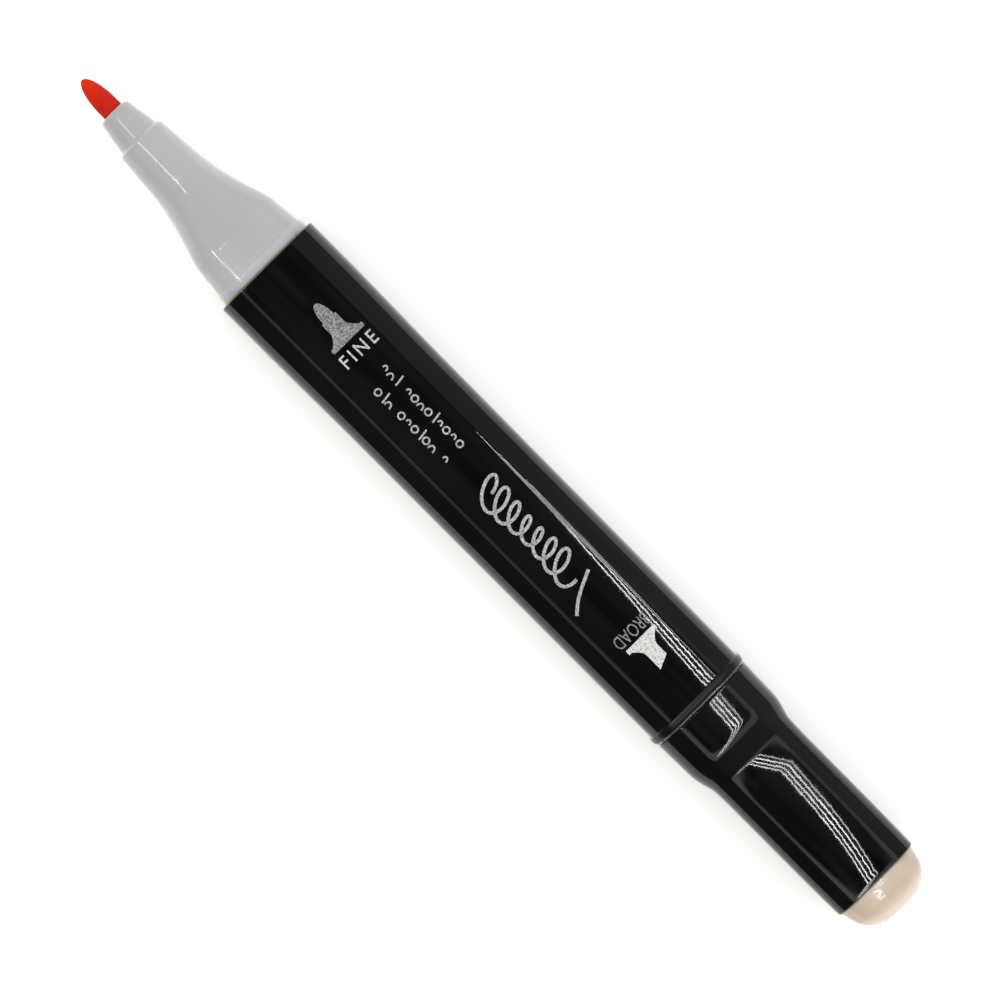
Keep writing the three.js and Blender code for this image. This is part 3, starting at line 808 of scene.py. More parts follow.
# %% [markdown]
# ### The spigot
#
# Behind its flange each nose has a spigot that presses into the bore, with a low snap ring on it.
# It is never seen, but it is what holds the nose, and both noses share it.

# %% Spigot


def spigot_back(bore_radius):
    """Outside of the spigot from its inner end up to the flange."""
    return [
        (-SPIGOT_LENGTH, bore_radius),
        (-SPIGOT_LENGTH, SPIGOT_RADIUS - 0.34 * MM),
        (-SPIGOT_LENGTH + 1.0 * MM, SPIGOT_RADIUS),
        *snap(-SNAP_DEPTH, SPIGOT_RADIUS)[::-1],
        (SEAT, SPIGOT_RADIUS),
    ]


def fading_roundness(start_x, end_x):
    """0 up to start_x, where the faces are flat, and 1 from end_x on, where the piece is round."""
    return lambda x: float(ease((x - start_x) / (end_x - start_x)))


print("points in the spigot's outline:", len(spigot_back(SPIGOT_RADIUS)))

# %% [markdown]
# ### The nose itself
#
# The outline goes from the flange to the collar, and the bore comes back to the spigot. The flare
# is a free curve, because it starts square and nearly straight and ends round with a soft neck;
# two straight cones with a rounded joint would look turned on a lathe.

# %% Fine nose
fine_outside = [
    (SEAT, FLANGE_HALF - 0.05 * MM),
    (SEAT + 0.05 * MM, FLANGE_HALF),
    *straight((0.2 * MM, FLANGE_HALF), (FLANGE_LENGTH - 0.16 * MM, FLANGE_HALF)),
    (FLANGE_LENGTH - 0.06 * MM, FLANGE_HALF - 0.04 * MM),
    (FLANGE_LENGTH, BASE_HALF + 0.01 * MM),
    *straight((FLANGE_LENGTH + 0.08 * MM, BASE_HALF), (FLARE_X - 0.12 * MM, BASE_FRONT_HALF)),
    *handled(
        (FLARE_X, BASE_FRONT_HALF - 0.01 * MM),
        (FLARE_X + 3.05 * MM, BASE_FRONT_HALF - 0.67 * MM),
        (TUBE_X - 3.15 * MM, TUBE_BACK + 0.28 * MM),
        (TUBE_X, TUBE_BACK),
    ),
    *straight((TUBE_X + 0.4 * MM, TUBE_BACK - 0.03 * MM), (TUBE_STEP_X - 0.1 * MM, TUBE_FRONT)),
    *eased((TUBE_STEP_X, TUBE_FRONT - 0.01 * MM), (COLLAR_X, COLLAR_BACK)),
    *straight(
        (COLLAR_X + 0.1 * MM, COLLAR_BACK - 0.02 * MM),
        (NOSE_LENGTH - 0.6 * MM, COLLAR_FRONT + 0.06 * MM),
    ),
    *rounded_edge(NOSE_LENGTH, COLLAR_FRONT, 0.45 * MM, 1),
]
fine_bore = [
    (NOSE_LENGTH, NIB_RADIUS + 0.03 * MM),
    (NOSE_LENGTH - 8 * MM, NIB_RADIUS + 0.03 * MM),
    (NOSE_LENGTH - 9 * MM, 2.2 * MM),
    (TUBE_X, 2.2 * MM),
    (FLARE_X, 4.45 * MM),
    (3.9 * MM, 4.45 * MM),
    (3.4 * MM, 4.95 * MM),
    (-SPIGOT_LENGTH, 4.95 * MM),
]
fine_round = fading_roundness(FLARE_X + 0.4 * MM, TUBE_X)
fine_rings = rings_along(spigot_back(4.95 * MM)[1:], at_fine_end)
fine_rings += rings_along(fine_outside, at_fine_end, HOLDER_FLAT, fine_round)
fine_rings += rings_along(fine_bore, at_fine_end)
dress(loft("fine_nose", fine_rings, tube=True), "smoky_plastic", "barrel", "fine_holder")

# %% [markdown]
# ## The bullet nib
#
# The nib is one straight rod: its far end sits in the reservoir and its front is ground to a
# bullet. An elliptical curve gives the bullet; the very tip is a little blunt from use.

# %% Bullet nib
NIB_POINT = 4.4 * MM
nib_low, nib_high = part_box("fine_nib")
nib_angle = np.linspace(math.pi / 2, 0.06, 2 * CURVE_STEPS)
nib_profile = [
    (nib_high.x, NIB_RADIUS - 0.12 * MM),
    (nib_high.x - 0.12 * MM, NIB_RADIUS),
    (nib_low.x + NIB_POINT + 0.3 * MM, NIB_RADIUS),
    *[(nib_low.x + NIB_POINT * (1 - math.cos(a)), NIB_RADIUS * math.sin(a)) for a in nib_angle],
    (nib_low.x, 0.02 * MM),
]


def as_it_is(x):
    """For profiles that are already given along the whole marker."""
    return x


dress(loft("bullet_nib", rings_along(nib_profile, as_it_is)), "inked_fibre", "fine_nib", "fine_nib")

# %% [markdown]
# ## The broad nose
#
# It sits under the cap. The nose has the same flange and base as the fine one, then a short flare
# to a round land that the cap's seal grips. Its socket is a rectangle, so the bore's rings change
# from rectangle to circle. Cutting the socket with a boolean would work too, but the loft keeps
# even quads.

# %% Broad nose
nib_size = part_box("broad_nib")[1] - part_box("broad_nib")[0]
CHISEL_HALF_Y, CHISEL_HALF_Z = nib_size.y / 2, nib_size.z / 2
BROAD_FLANGE_HALF = half_width("broad_holder")
BROAD_BASE_HALF = BROAD_FLANGE_HALF - 0.15 * MM
BROAD_NOSE_RADIUS = math.hypot(CHISEL_HALF_Y, CHISEL_HALF_Z) + 0.62 * MM
LAND_RADIUS = BROAD_NOSE_RADIUS + 0.27 * MM
BROAD_NOSE_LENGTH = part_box("broad_holder")[1].x - barrel_high.x
BROAD_NOSE_X = BROAD_NOSE_LENGTH - 3.3 * MM
LAND_X = BROAD_NOSE_X - 3.0 * MM
BROAD_FLARE_X = LAND_X - 3.5 * MM
BROAD_FLANGE_LENGTH = 1.2 * MM
SLOT_CORNER = 0.25 * MM

broad_outside = [
    (SEAT, BROAD_FLANGE_HALF - 0.05 * MM),
    (SEAT + 0.05 * MM, BROAD_FLANGE_HALF),
    (BROAD_FLANGE_LENGTH - 0.12 * MM, BROAD_FLANGE_HALF),
    (BROAD_FLANGE_LENGTH - 0.04 * MM, BROAD_FLANGE_HALF - 0.06 * MM),
    (BROAD_FLANGE_LENGTH, BROAD_BASE_HALF),
    *eased((BROAD_FLARE_X, BROAD_BASE_HALF - 0.2 * MM), (LAND_X, LAND_RADIUS)),
    *straight((LAND_X + 0.2 * MM, LAND_RADIUS), (BROAD_NOSE_X - 0.06 * MM, LAND_RADIUS)),
    (BROAD_NOSE_X, LAND_RADIUS - 0.06 * MM),
    (BROAD_NOSE_X + 0.3 * MM, BROAD_NOSE_RADIUS + 0.02 * MM),
    *rounded_edge(BROAD_NOSE_LENGTH, BROAD_NOSE_RADIUS, 0.55 * MM, 1),
]
slot_size = (CHISEL_HALF_Y + 0.03 * MM, CHISEL_HALF_Z + 0.03 * MM, SLOT_CORNER)
core_seat = [(3.0 * MM, 4.45 * MM), (2.6 * MM, 4.95 * MM), (-SPIGOT_LENGTH, 4.95 * MM)]
broad_round = fading_roundness(BROAD_FLARE_X, LAND_X)
broad_rings = rings_along(spigot_back(4.95 * MM)[1:], at_broad_end)
broad_rings += rings_along(broad_outside, at_broad_end, HOLDER_FLAT, broad_round)
broad_rings += [slot_section(at_broad_end(x), *slot_size) for x in (BROAD_NOSE_LENGTH, LAND_X - 1 * MM)]
broad_rings += rings_along(core_seat, at_broad_end)
dress(loft("broad_nose", broad_rings, tube=True), "smoky_plastic", "barrel", "broad_holder")

# %% [markdown]
# ## The chisel nib
#
# A rounded bar of fibre with two bevels, cut off at a slant so that one corner leads. The bar
# could be sliced with a plane, but here each ring stops where it meets the slanted cut, and the
# rings past it fold up into the flat end.

# %% Chisel nib
CHISEL_SLANT = 2.4 * MM
CHISEL_BEVEL = 2.9 * MM
CHISEL_EDGE = 0.9 * MM
chisel_low, chisel_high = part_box("broad_nib")
bevel_x = chisel_high.x - CHISEL_BEVEL
thin_bar = slot_section(0, CHISEL_HALF_Y, 1 * MM, SLOT_CORNER)
thick_bar = slot_section(0, CHISEL_HALF_Y, 2 * MM, SLOT_CORNER)


def chisel_ring(x):
    """A ring of the chisel at x, held back where it would pass the slanted cut."""
    y = thin_bar[:, 1]
    cut = chisel_high.x - CHISEL_SLANT * (0.5 - y / (2 * CHISEL_HALF_Y))
    xs = np.minimum(x, cut)
    down = np.clip((xs - bevel_x) / CHISEL_BEVEL, 0, 1)
    half_z = CHISEL_HALF_Z + (CHISEL_EDGE / 2 - CHISEL_HALF_Z) * down
    z = thin_bar[:, 2] + (thick_bar[:, 2] - thin_bar[:, 2]) * (half_z / MM - 1)
    return np.column_stack([xs, y, z])


chisel_steps = [chisel_low.x, bevel_x - 3 * MM, *np.linspace(bevel_x, chisel_high.x, 16)]
chisel_rings = [chisel_ring(x) for x in chisel_steps]
dress(loft("chisel_nib", chisel_rings), "inked_fibre", "barrel", "broad_nib")

# %% [markdown]
# ## The cap
#
# The cap's shell is as wide as the barrel at its mouth, steps down over a soft shoulder and stays
# narrow to its end. Inside, a square mouth lines it up with the nose's base, and a round bore
# carries the seal. The shoulder is an eased step: where its slope starts and stops, the gloss draws
# a thin bright outline, as on the real moulding.

# %% Cap shell
CAP_FLAT = 3.6 * MM
cap_low, cap_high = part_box("cap_shell")
SEAM = cap_low.x - barrel_high.x
MOUTH_HALF = half_width("cap_shell")
CAP_LENGTH = cap_high.x - barrel_high.x
LINER_RADIUS = half_width("cap_seal_liner")
CAP_BORE = LINER_RADIUS + 0.03 * MM
CAP_END_HALF = CAP_BORE + 1.09 * MM
CAP_NARROW_HALF = CAP_END_HALF + 0.06 * MM
SHOULDER_X = 5.6 * MM
NECK_X = SHOULDER_X + 3.7 * MM
NARROW_X = NECK_X + 3.5 * MM
CAVITY_HALF = MOUTH_HALF - 0.68 * MM
CAVITY_X = 5.2 * MM
CAVITY_FLAT = 3.25 * MM
CAP_DRAFT = 0.0215  # how fast the wide part narrows
SHOULDER_LEAD = 0.8 * MM  # the shoulder starts this much before SHOULDER_X
SHOULDER_LATE = 1.7  # above 1, the step keeps near the wide line longer
NECK_HOLLOW = 6.5  # how much the neck's foot is hollowed, per metre
SETTLED_X = 14 * MM  # from here on the sides are nearly straight
FALL_X = 18 * MM  # from here on they fall off slowly
END_FALL = 0.1 * MM


def cap_half(x):
    """Half width of the cap: a wide line, a soft shoulder, a neck that settles, a slow fall."""
    wide = MOUTH_HALF - CAP_DRAFT * (x - SEAM)
    neck = CAP_NARROW_HALF + NECK_HOLLOW * max(0.0, NARROW_X - x) ** 2
    neck -= END_FALL * max(0.0, (x - FALL_X) / (CAP_LENGTH - FALL_X)) ** 3
    shoulder = (x - SHOULDER_X + SHOULDER_LEAD) / (NECK_X - SHOULDER_X + SHOULDER_LEAD)
    down = float(ease(shoulder)) ** SHOULDER_LATE
    return wide * (1 - down) + neck * down


cap_first, cap_last = SEAM + 0.3 * MM, CAP_LENGTH - 0.3 * MM
fine_steps = np.arange(cap_first, SETTLED_X, 0.12 * MM)
wide_steps = np.arange(SETTLED_X, cap_last, 0.5 * MM)
cap_outside = [
    *rounded_edge(SEAM, cap_half(cap_first), EDGE_ROUND, -1),
    *[(x, cap_half(x)) for x in (*fine_steps, *wide_steps)],
    *rounded_edge(CAP_LENGTH, cap_half(cap_last), EDGE_ROUND, 1),
]
cap_inside = straight((CAP_LENGTH, CAP_BORE), (CAVITY_X + 2.2 * MM, CAP_BORE), 3 * MM)
cavity = [(CAVITY_X, CAVITY_HALF), (SEAM, CAVITY_HALF)]
cap_rings = rings_along(cap_outside, at_broad_end, CAP_FLAT, 0.0)
cap_rings += rings_along(cap_inside, at_broad_end)
cap_rings += rings_along(cavity, at_broad_end, CAVITY_FLAT, 0.0)
dress(loft("cap_body", cap_rings, tube=True), "black_gloss", "cap", "cap_shell")

# %% [markdown]
# ## The seal
#
# The seal is a cup of soft plastic inside the cap. Its lip slides onto the land of the broad nose
# and keeps the ink from drying. It is round all the way, so a lathe or a screw modifier would do
# as well; the loft is used because it is here. Its profile goes from the middle of the floor
# inside, out over the lip, and back to the middle of the floor outside.

# %% Seal cup
liner_low, liner_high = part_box("cap_seal_liner")
LINER_END = 0.9 * MM
LINER_INNER = LINER_RADIUS - 0.75 * MM
liner_floor = liner_high.x - LINER_END
liner_profile = [
    (liner_floor, 0.05 * MM),
    (liner_floor, LINER_INNER - LINER_END),
    (liner_floor - 0.45 * MM, LINER_INNER - 0.3 * MM),
    (liner_floor - LINER_END, LINER_INNER),
    (liner_low.x + 0.8 * MM, LINER_INNER),
    (liner_low.x, LINER_INNER + 0.25 * MM),
    (liner_low.x, LINER_RADIUS - 0.25 * MM),
    (liner_low.x + 0.3 * MM, LINER_RADIUS - 0.08 * MM),
    (liner_low.x + 0.8 * MM, LINER_RADIUS),
    (liner_floor, LINER_RADIUS),
    (liner_floor + 0.45 * MM, LINER_RADIUS - 0.3 * MM),
    (liner_high.x, LINER_RADIUS - LINER_END),
    (liner_high.x, 0.05 * MM),
]
liner_rings = rings_along(liner_profile, as_it_is)
dress(loft("seal_cup", liner_rings), "liner_plastic", "cap", "cap_seal_liner")

# %% [markdown]
# ## The plug
#
# The plug closes the cap's outer end with a low dome; its round stem is pressed into the bore.
# The dome starts as square as the cap and ends nearly round, so both the roundness and the width
# of the flat faces change along it, each as a function of x.

# %% Dome plug
plug_low, plug_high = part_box("cap_end_plug")
PLUG_X = CAP_LENGTH + SEAT
PLUG_HALF = half_width("cap_end_plug")
PLUG_FLAT = 2.9 * MM
DOME_X = PLUG_X + 2.0 * MM
DOME_HALF = PLUG_HALF - 0.42 * MM
PLUG_END_X = plug_high.x - barrel_high.x
PLUG_TIP_HALF = 2.4 * MM
plug_profile = [
    (plug_low.x - barrel_high.x, LINER_RADIUS),
    (PLUG_X, LINER_RADIUS),
    (PLUG_X, PLUG_HALF - 0.04 * MM),
    (PLUG_X + 0.05 * MM, PLUG_HALF),
    *straight(
        (PLUG_X + 0.3 * MM, PLUG_HALF - 0.03 * MM),
        (DOME_X - 0.3 * MM, DOME_HALF + 0.06 * MM),
        0.4 * MM,
    ),
    *handled(
        (DOME_X, DOME_HALF),
        (DOME_X + 1.6 * MM, DOME_HALF - 0.4 * MM),
        (PLUG_END_X, PLUG_TIP_HALF + 1.4 * MM),
        (PLUG_END_X, PLUG_TIP_HALF),
    ),
    (PLUG_END_X, 0.2 * MM),
]


def plug_round(x):
    """Round on the stem, square with soft corners outside, and nearly round at the dome's tip."""
    if x < PLUG_X:
        return 1.0
    return 0.12 + 0.68 * float(ease((x - DOME_X) / (PLUG_END_X - DOME_X)))


def plug_flat(x):
    """The faces shrink towards the dome's tip."""
    return PLUG_FLAT * (1 - 0.75 * float(ease((x - DOME_X) / (PLUG_END_X - DOME_X))))


plug_rings = rings_along(plug_profile[:2], at_broad_end)
plug_rings += rings_along(plug_profile[2:], at_broad_end, plug_flat, plug_round)
dome_plug = dress(loft("dome_plug", plug_rings), "beige_plastic", "cap", "cap_end_plug")

# %% [markdown]
# ## The reservoir
#
# The ink reservoir is a fibre core in a thin film, hidden in the barrel. Its CAD solids already
# have the right shape, so they stay and only get a real finish.

# %% Reservoir finishes
for node, slot in (("reservoir_core", "reservoir_fibre"), ("reservoir_wrap", "clear_film")):
    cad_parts[node].data.materials.clear()
    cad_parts[node].data.materials.append(FINISHES[slot])
    print(node, "keeps its CAD shape, finished in", slot)

# %% [markdown]
# ## Laying foil on the barrel
#
# The foil could be painted with a mask in the barrel's material, but stamped foil has a real edge
# and its own thickness, and a mask would be as coarse as its baked image. So each mark is cut as
# a flat outline, sliced into narrow strips so that it can bend, laid on the crowned face and
# given its few hundredths of a millimetre of thickness.
#
# BMesh tools keep their results in no fixed order, so the finished points and faces are sorted.
# That way every run makes the same mesh, down to the last number.

# %% Flat outlines onto the crowned face
FOIL_DEPTH = 0.03 * MM
SLICE = 0.3 * MM
profile_x, profile_half = np.array(barrel_outside).T
order = np.argsort(profile_x)


def face_height(x, y):
    """How high the barrel's top face is at a place, x from the fine end."""
    half = np.interp(x, profile_x[order], profile_half[order])
    return AXIS_Z + half - FACE_BULGE_RADIUS + math.sqrt(FACE_BULGE_RADIUS ** 2 - y * y)


def ordered_mesh(name, work):
    """A mesh with the points and faces of a BMesh, always in the same order."""
    verts = sorted(work.verts, key=lambda v: tuple(v.co))
    rank = {vert: i for i, vert in enumerate(verts)}
    faces = []
    for face in work.faces:
        corners = [rank[v] for v in face.verts]
        first = corners.index(min(corners))
        faces.append(corners[first:] + corners[:first])
    mesh = bpy.data.meshes.new(name)
    mesh.from_pydata([tuple(v.co) for v in verts], [], sorted(faces))
    return mesh


def stamp(name, outlines, foil="wear_and_shade"):
    """Foil of the given flat faces, each a list of (x, y) with x from the barrel's fine end."""
    work = bmesh.new()
    for outline in outlines:
        work.faces.new([work.verts.new((x, y, 0)) for x, y in outline])
    bmesh.ops.remove_doubles(work, verts=work.verts, dist=MERGE)
    for axis in (0, 1):
        values = [v.co[axis] for v in work.verts]
        for cut in np.arange(min(values) + SLICE, max(values), SLICE * (1 if axis else 2)):
            normal = Vector((1, 0, 0)) if axis == 0 else Vector((0, 1, 0))
            everything = [*work.verts, *work.edges, *work.faces]
            bmesh.ops.bisect_plane(work, geom=everything, plane_co=normal * cut, plane_no=normal, dist=1e-8)
    bmesh.ops.triangulate(work, faces=work.faces)
    for face in work.faces:
        if face.normal.z < 0:
            face.normal_flip()
    solid = bmesh.ops.extrude_face_region(work, geom=list(work.faces))["geom"]
    raised = {g for g in solid if isinstance(g, bmesh.types.BMVert)}
    for vert in work.verts:
        height = face_height(vert.co.x, vert.co.y) + FOIL_PROUD
        vert.co.z = height if vert in raised else height - FOIL_DEPTH
        vert.co.x = barrel_place(vert.co.x)
    bmesh.ops.recalc_face_normals(work, faces=work.faces)
    mesh = ordered_mesh(name, work)
    work.free()
    piece = bpy.data.objects.new(name, mesh)
    bpy.context.scene.collection.objects.link(piece)
    print(f"{name}: {len(mesh.polygons)} foil faces")
    dress(piece, "silver_foil", "barrel")
    mesh.materials[0] = FOILS[foil]
    return piece


# %% [markdown]
# ## The two tip signs
#
# A small picture of each tip shows which end is which: a bullet on a flared nose, and a chisel on
# one. They are drawn from the same few sizes as a draughtsman would use: lengths along the
# marker and half widths across it.

# %% Sign of the fine tip
SIGN_LINE_Y = 0.84 * MM


def mirrored(side, middle_y):
    """An outline from one side's (x, half width) pairs, mirrored across the sign's middle line."""
    top = [(x, middle_y + half) for x, half in side]
    return top + [(x, middle_y - half) for x, half in reversed(side)]


bullet_x, collar_x, cone_x, bar_x, sign_end = (v * MM for v in (7.55, 9.99, 11.45, 13.0, 13.62))
bullet_side = [
    (bullet_x + (collar_x - bullet_x) * (1 - math.cos(a)), 0.9 * MM * math.sin(a))
    for a in np.linspace(0.12, math.pi / 2, 10)
]
collar_side = [(collar_x, 1.16 * MM), (cone_x, 1.16 * MM)]
cone_side = [
    (cone_x + (bar_x - cone_x) * s, (1.16 + 1.1 * s ** 1.7) * MM) for s in np.linspace(0.1, 1, 7)
]
bar_side = [
    (bar_x, 2.5 * MM),
    (bar_x + 0.12 * MM, 2.6 * MM),
    (sign_end - 0.1 * MM, 2.6 * MM),
    (sign_end, 2.5 * MM),
]
fine_side = bullet_side + collar_side + cone_side + bar_side
stamp("fine_tip_sign", [mirrored(fine_side, SIGN_LINE_Y)])

# %% [markdown]
# The chisel's sign is made the same way, but its end is cut at a slant. So the two corners of the
# slanted edge are put in between the two mirrored sides.

# %% Sign of the broad tip
chisel_line_y = 0.38 * MM
base_x, flare_x, body_x, short_x, long_x = (v * MM for v in (64.25, 64.9, 66.3, 67.95, 68.8))
chisel_cone = [
    (flare_x + (body_x - flare_x) * s, (0.94 + 1.05 * (1 - s) ** 1.7) * MM) for s in np.linspace(0, 1, 7)
]
chisel_half = 0.94 * MM
broad_side = [(base_x, 2.4 * MM), (flare_x, 2.4 * MM), *chisel_cone]
slanted_end = [(short_x, chisel_line_y + chisel_half), (long_x, chisel_line_y - chisel_half)]
broad_sign = mirrored(broad_side, chisel_line_y)
broad_sign[len(broad_side):len(broad_side)] = slanted_end
# The chisel's sign takes the brightest grade, a painted highlight.
stamp("broad_tip_sign", [broad_sign], "highlit")

# %% [markdown]
# ## The two tip words
#
# FINE and BROAD are plain words, set in Blender's own built-in lettering. A text object makes the
# letters, its `offset` makes them a little bolder, and its mesh gives the flat faces to stamp.

# %% Tip words


def word_faces(word, height, thicken, spacing):
    """The flat faces of a word, its left end at the origin, and its width."""
    text = bpy.data.curves.new(word, "FONT")
    text.body = word
    text.space_character = spacing
    text.size = 1.0
    text.offset = thicken
    holder = bpy.data.objects.new(word, text)
    bpy.context.scene.collection.objects.link(holder)
    bpy.context.view_layer.update()
    mesh = holder.to_mesh()
    corners = np.array([v.co[:2] for v in mesh.vertices])
    polygons = [list(p.vertices) for p in mesh.polygons]
    holder.to_mesh_clear()
    bpy.data.objects.remove(holder)
    bpy.data.curves.remove(text)
    low, high = corners.min(axis=0), corners.max(axis=0)
    corners = (corners - low) * (height / (high[1] - low[1]))
    return corners, polygons, corners[:, 0].max()


def stamp_word(name, word, height, width, start, reading, tops, thicken, spacing, foil):
    """Stamps a word. Reading and tops are the directions of its line and of its letters' tops."""
    corners, polygons, natural = word_faces(word, height, thicken, spacing)
    corners[:, 0] *= width / natural
    placed = np.array(start) + np.outer(corners[:, 0], reading) + np.outer(corners[:, 1], tops)
    return stamp(name, [[tuple(placed[i]) for i in polygon] for polygon in polygons], foil)


fine_start, broad_start = (16.1 * MM, -1.85 * MM), (62.15 * MM, 2.85 * MM)
# FINE takes a lighter grade, painted highlight, and BROAD the darkest, painted shade.
stamp_word("fine_word", "FINE", 1.75 * MM, 5.4 * MM, fine_start, (0, 1), (-1, 0), 0.006, 1.35, "bright")
stamp_word("broad_word", "BROAD", 1.7 * MM, 5.3 * MM, broad_start, (0, -1), (1, 0), 0.0, 1.0, "wear_and_shade")

# %% [markdown]
# ## Plain marks in place of the rest of the print
#
# The other lines on such a barrel are a maker's words, which have no place on a reusable part. A
# hand-drawn coil and two rows of small rings, arches and bars keep the rhythm of a printed barrel
# without spelling anything. A stroke is a ribbon: each point is pushed half a stroke to both
# sides. A curve object with a bevel would give a round wire, and foil is flat.

# %% Strokes
random.seed(MARKS_SEED)


def ribbon(points, width):
    """The flat quads of a stroke of the given width through the points."""
    points = np.array(points)
    run = np.gradient(points, axis=0)
    run /= np.linalg.norm(run, axis=1)[:, None]
    side = np.column_stack([-run[:, 1], run[:, 0]]) * width / 2
    left, right = points + side, points - side
    return [
        [tuple(left[i]), tuple(left[i + 1]), tuple(right[i + 1]), tuple(right[i])]
        for i in range(len(points) - 1)
    ]


def loops(start_x, end_x, middle_y, tall, turns, roll=0.62):
    """A row of slanted loops, as a relaxed hand draws them."""
    t = np.linspace(0, 1, 30 * turns)
    swell = tall / 2 * (1 + 0.18 * np.sin(7 * t + 1))
    angle = 2 * math.pi * turns * t
    y = middle_y + swell * np.sin(angle)
    x = start_x + (end_x - start_x) * t + roll * swell * np.cos(angle) - 0.3 * (y - middle_y)
    return np.column_stack([x, y])


def slash(foot_x, foot_y, tall, hook=0.0):
    """A slanted stroke with a little hook at its foot."""
    t = np.linspace(0, 1, 12)
    x = foot_x - 0.45 * tall * t + hook * (1 - t) ** 4
    return np.column_stack([x, foot_y + tall * t])


PEN = 0.42 * MM
hand_drawn = ribbon(loops(37.9 * MM, 52.6 * MM, -0.1 * MM, 3.3 * MM, 7), PEN)
hand_drawn += ribbon(slash(56.2 * MM, -3.2 * MM, 5.0 * MM, 0.8 * MM), PEN)
stamp("hand_drawn_loops", hand_drawn, "plain")

# %% [markdown]
# ### Rows of small marks
#
# Each mark is drawn by a few lines of maths, and a seeded random choice picks the next one, never
# the same twice running. The seed makes every run give the same row.

# %% Rows of marks


def circle_stroke(centre, radius, width):
    """A small ring."""
    angle = np.linspace(0, 2 * math.pi, 21)
    x, y = centre[0] + radius * np.cos(angle), centre[1] + radius * np.sin(angle)
    return ribbon(np.column_stack([x, y]), width)


def mark(kind, x, low_y):
    """One small mark that stands on the line low_y: a ring, an arch, a hook or a bar."""
    if kind == "ring":
        return circle_stroke((x, low_y + 0.54 * MM), 0.42 * MM, 0.22 * MM)
    if kind == "arch":
        angle = np.linspace(0, math.pi, 13)
        arch = np.column_stack([x + 0.42 * MM * np.cos(angle), low_y + 0.65 * MM * (0.1 + np.sin(angle))])
        return ribbon(arch, 0.22 * MM)
    if kind == "hook":
        angle = np.linspace(-0.3, math.pi, 11)
        hook = np.column_stack([x + 0.3 * MM * np.cos(angle), low_y + 0.5 * MM + 0.4 * MM * np.sin(angle)])
        return ribbon(hook, 0.22 * MM)
    bar = [(x - 0.1 * MM, low_y + 1.5 * MM), (x, low_y + 0.8 * MM), (x + 0.1 * MM, low_y)]
    return ribbon(bar, 0.24 * MM)


def row_of_marks(start_x, end_x, low_y, gap_after):
    """Small marks from start_x to end_x, with a wider gap after some of them."""
    faces, x, count, last = [], start_x, 0, ""
    while x < end_x:
        kind = random.choice([k for k in ("ring", "arch", "hook", "bar", "bar") if k != last])
        faces += mark(kind, x, low_y)
        x += (0.8 if kind == "bar" else 1.16) * MM
        count, last = count + 1, kind
        if count in gap_after:
            x += 0.9 * MM
    return faces


stamp("upper_row_of_marks", row_of_marks(19.1 * MM, 32.6 * MM, 0.9 * MM, (3,)), "plain")
stamp("lower_row_of_marks", row_of_marks(20.6 * MM, 32.6 * MM, -1.75 * MM, (3, 9)), "plain")

# %% [markdown]
# ## The floor
#
# The marker lies on a plain white sheet. The sheet glows a little, so that it stays white even in
# the marker's own soft shadow, as paper does in a light tent.

# %% White floor
FLOOR_SIZE = 6.0


def paper_white():
    finish = new_finish("white_floor")
    where = finish.place()
    grain = finish.noise(where, 3 * MM, detail=2)
    colour = finish.blend(grain, (0.86, 0.86, 0.86), (0.9, 0.9, 0.9))
    return finish.surface(
        base_color=colour,
        roughness=0.9,
        specular_ior_level=0.0,
        emission_color=(1.0, 1.0, 1.0),
        emission_strength=0.25,
    )


side = FLOOR_SIZE / 2
floor_mesh = bpy.data.meshes.new("floor")
floor_corners = [(-side, -side, 0), (side, -side, 0), (side, side, 0), (-side, side, 0)]
floor_mesh.from_pydata(floor_corners, [], [(0, 1, 2, 3)])
floor = bpy.data.objects.new("floor", floor_mesh)
bpy.context.scene.collection.objects.link(floor)
floor_mesh.materials.append(paper_white())
floor.location.z = cad_box[0].z
print("floor laid at height", floor.location.z)

# %% [markdown]
# ## The room
#
# Gloss shows the whole room, so the room is drawn on purpose: darkish and patchy straight above,
# where the camera hangs, a paler ring round that, and dim walls. An image of a studio would do
# the same with less control. The camera itself sees plain white, and matt surfaces get a little
# more even light than the gloss shows.

# %% Room
room = Finish(bpy.data.worlds.new("room"))
bpy.context.scene.world = room.owner
towards = room.add("ShaderNodeTexCoord", output="Generated")
up = room.add("ShaderNodeSeparateXYZ", None, {0: towards}, output="Z")
across = room.add("ShaderNodeSeparateXYZ", None, {0: towards}, output="Y")
along = room.add("ShaderNodeSeparateXYZ", None, {0: towards}, output="X")
wall = room.ramp(across, -0.5, 0.6, 0.07, 0.34)
ring_light = room.ramp(up, 0.925, 0.95) * (1 - room.ramp(up, 0.978, 0.986))
ring_light = ring_light * (room.ramp(across, -0.1, 0.0, 0.55, 0.1) + room.ramp(along, 0.03, 0.14) * 0.7)
above = room.ramp(up, 0.975, 0.987)
patches = room.ramp(room.noise(towards, 0.07, detail=1), 0.35, 0.65, 0.02, 0.11)
level = wall * (1 - above) + above * patches + ring_light
seen = room.add("ShaderNodeLightPath", output="Is Camera Ray")
soft = room.add("ShaderNodeLightPath", output="Is Diffuse Ray")
strength = level * (1 - seen) + seen * 1.0 + soft * 0.3
glow = room.add("ShaderNodeBackground", None, {"Color": (1.0, 1.0, 0.98, 1.0), "Strength": strength})
room.add("ShaderNodeOutputWorld", None, {"Surface": glow})
print("nodes in the room:", len(room.tree.nodes))

# %% [markdown]
# ## The lamps
#
# The big soft lamp lights the floor and the coloured plastics, and is hidden from reflections,
# where it would wash out the black. Thin lamps do the drawing: four side by side give the bright
# lines on the black faces, two the lines on the nose, and four short ones the glints of the plug.
# Those last are linked to the plug alone.

# %% A lamp


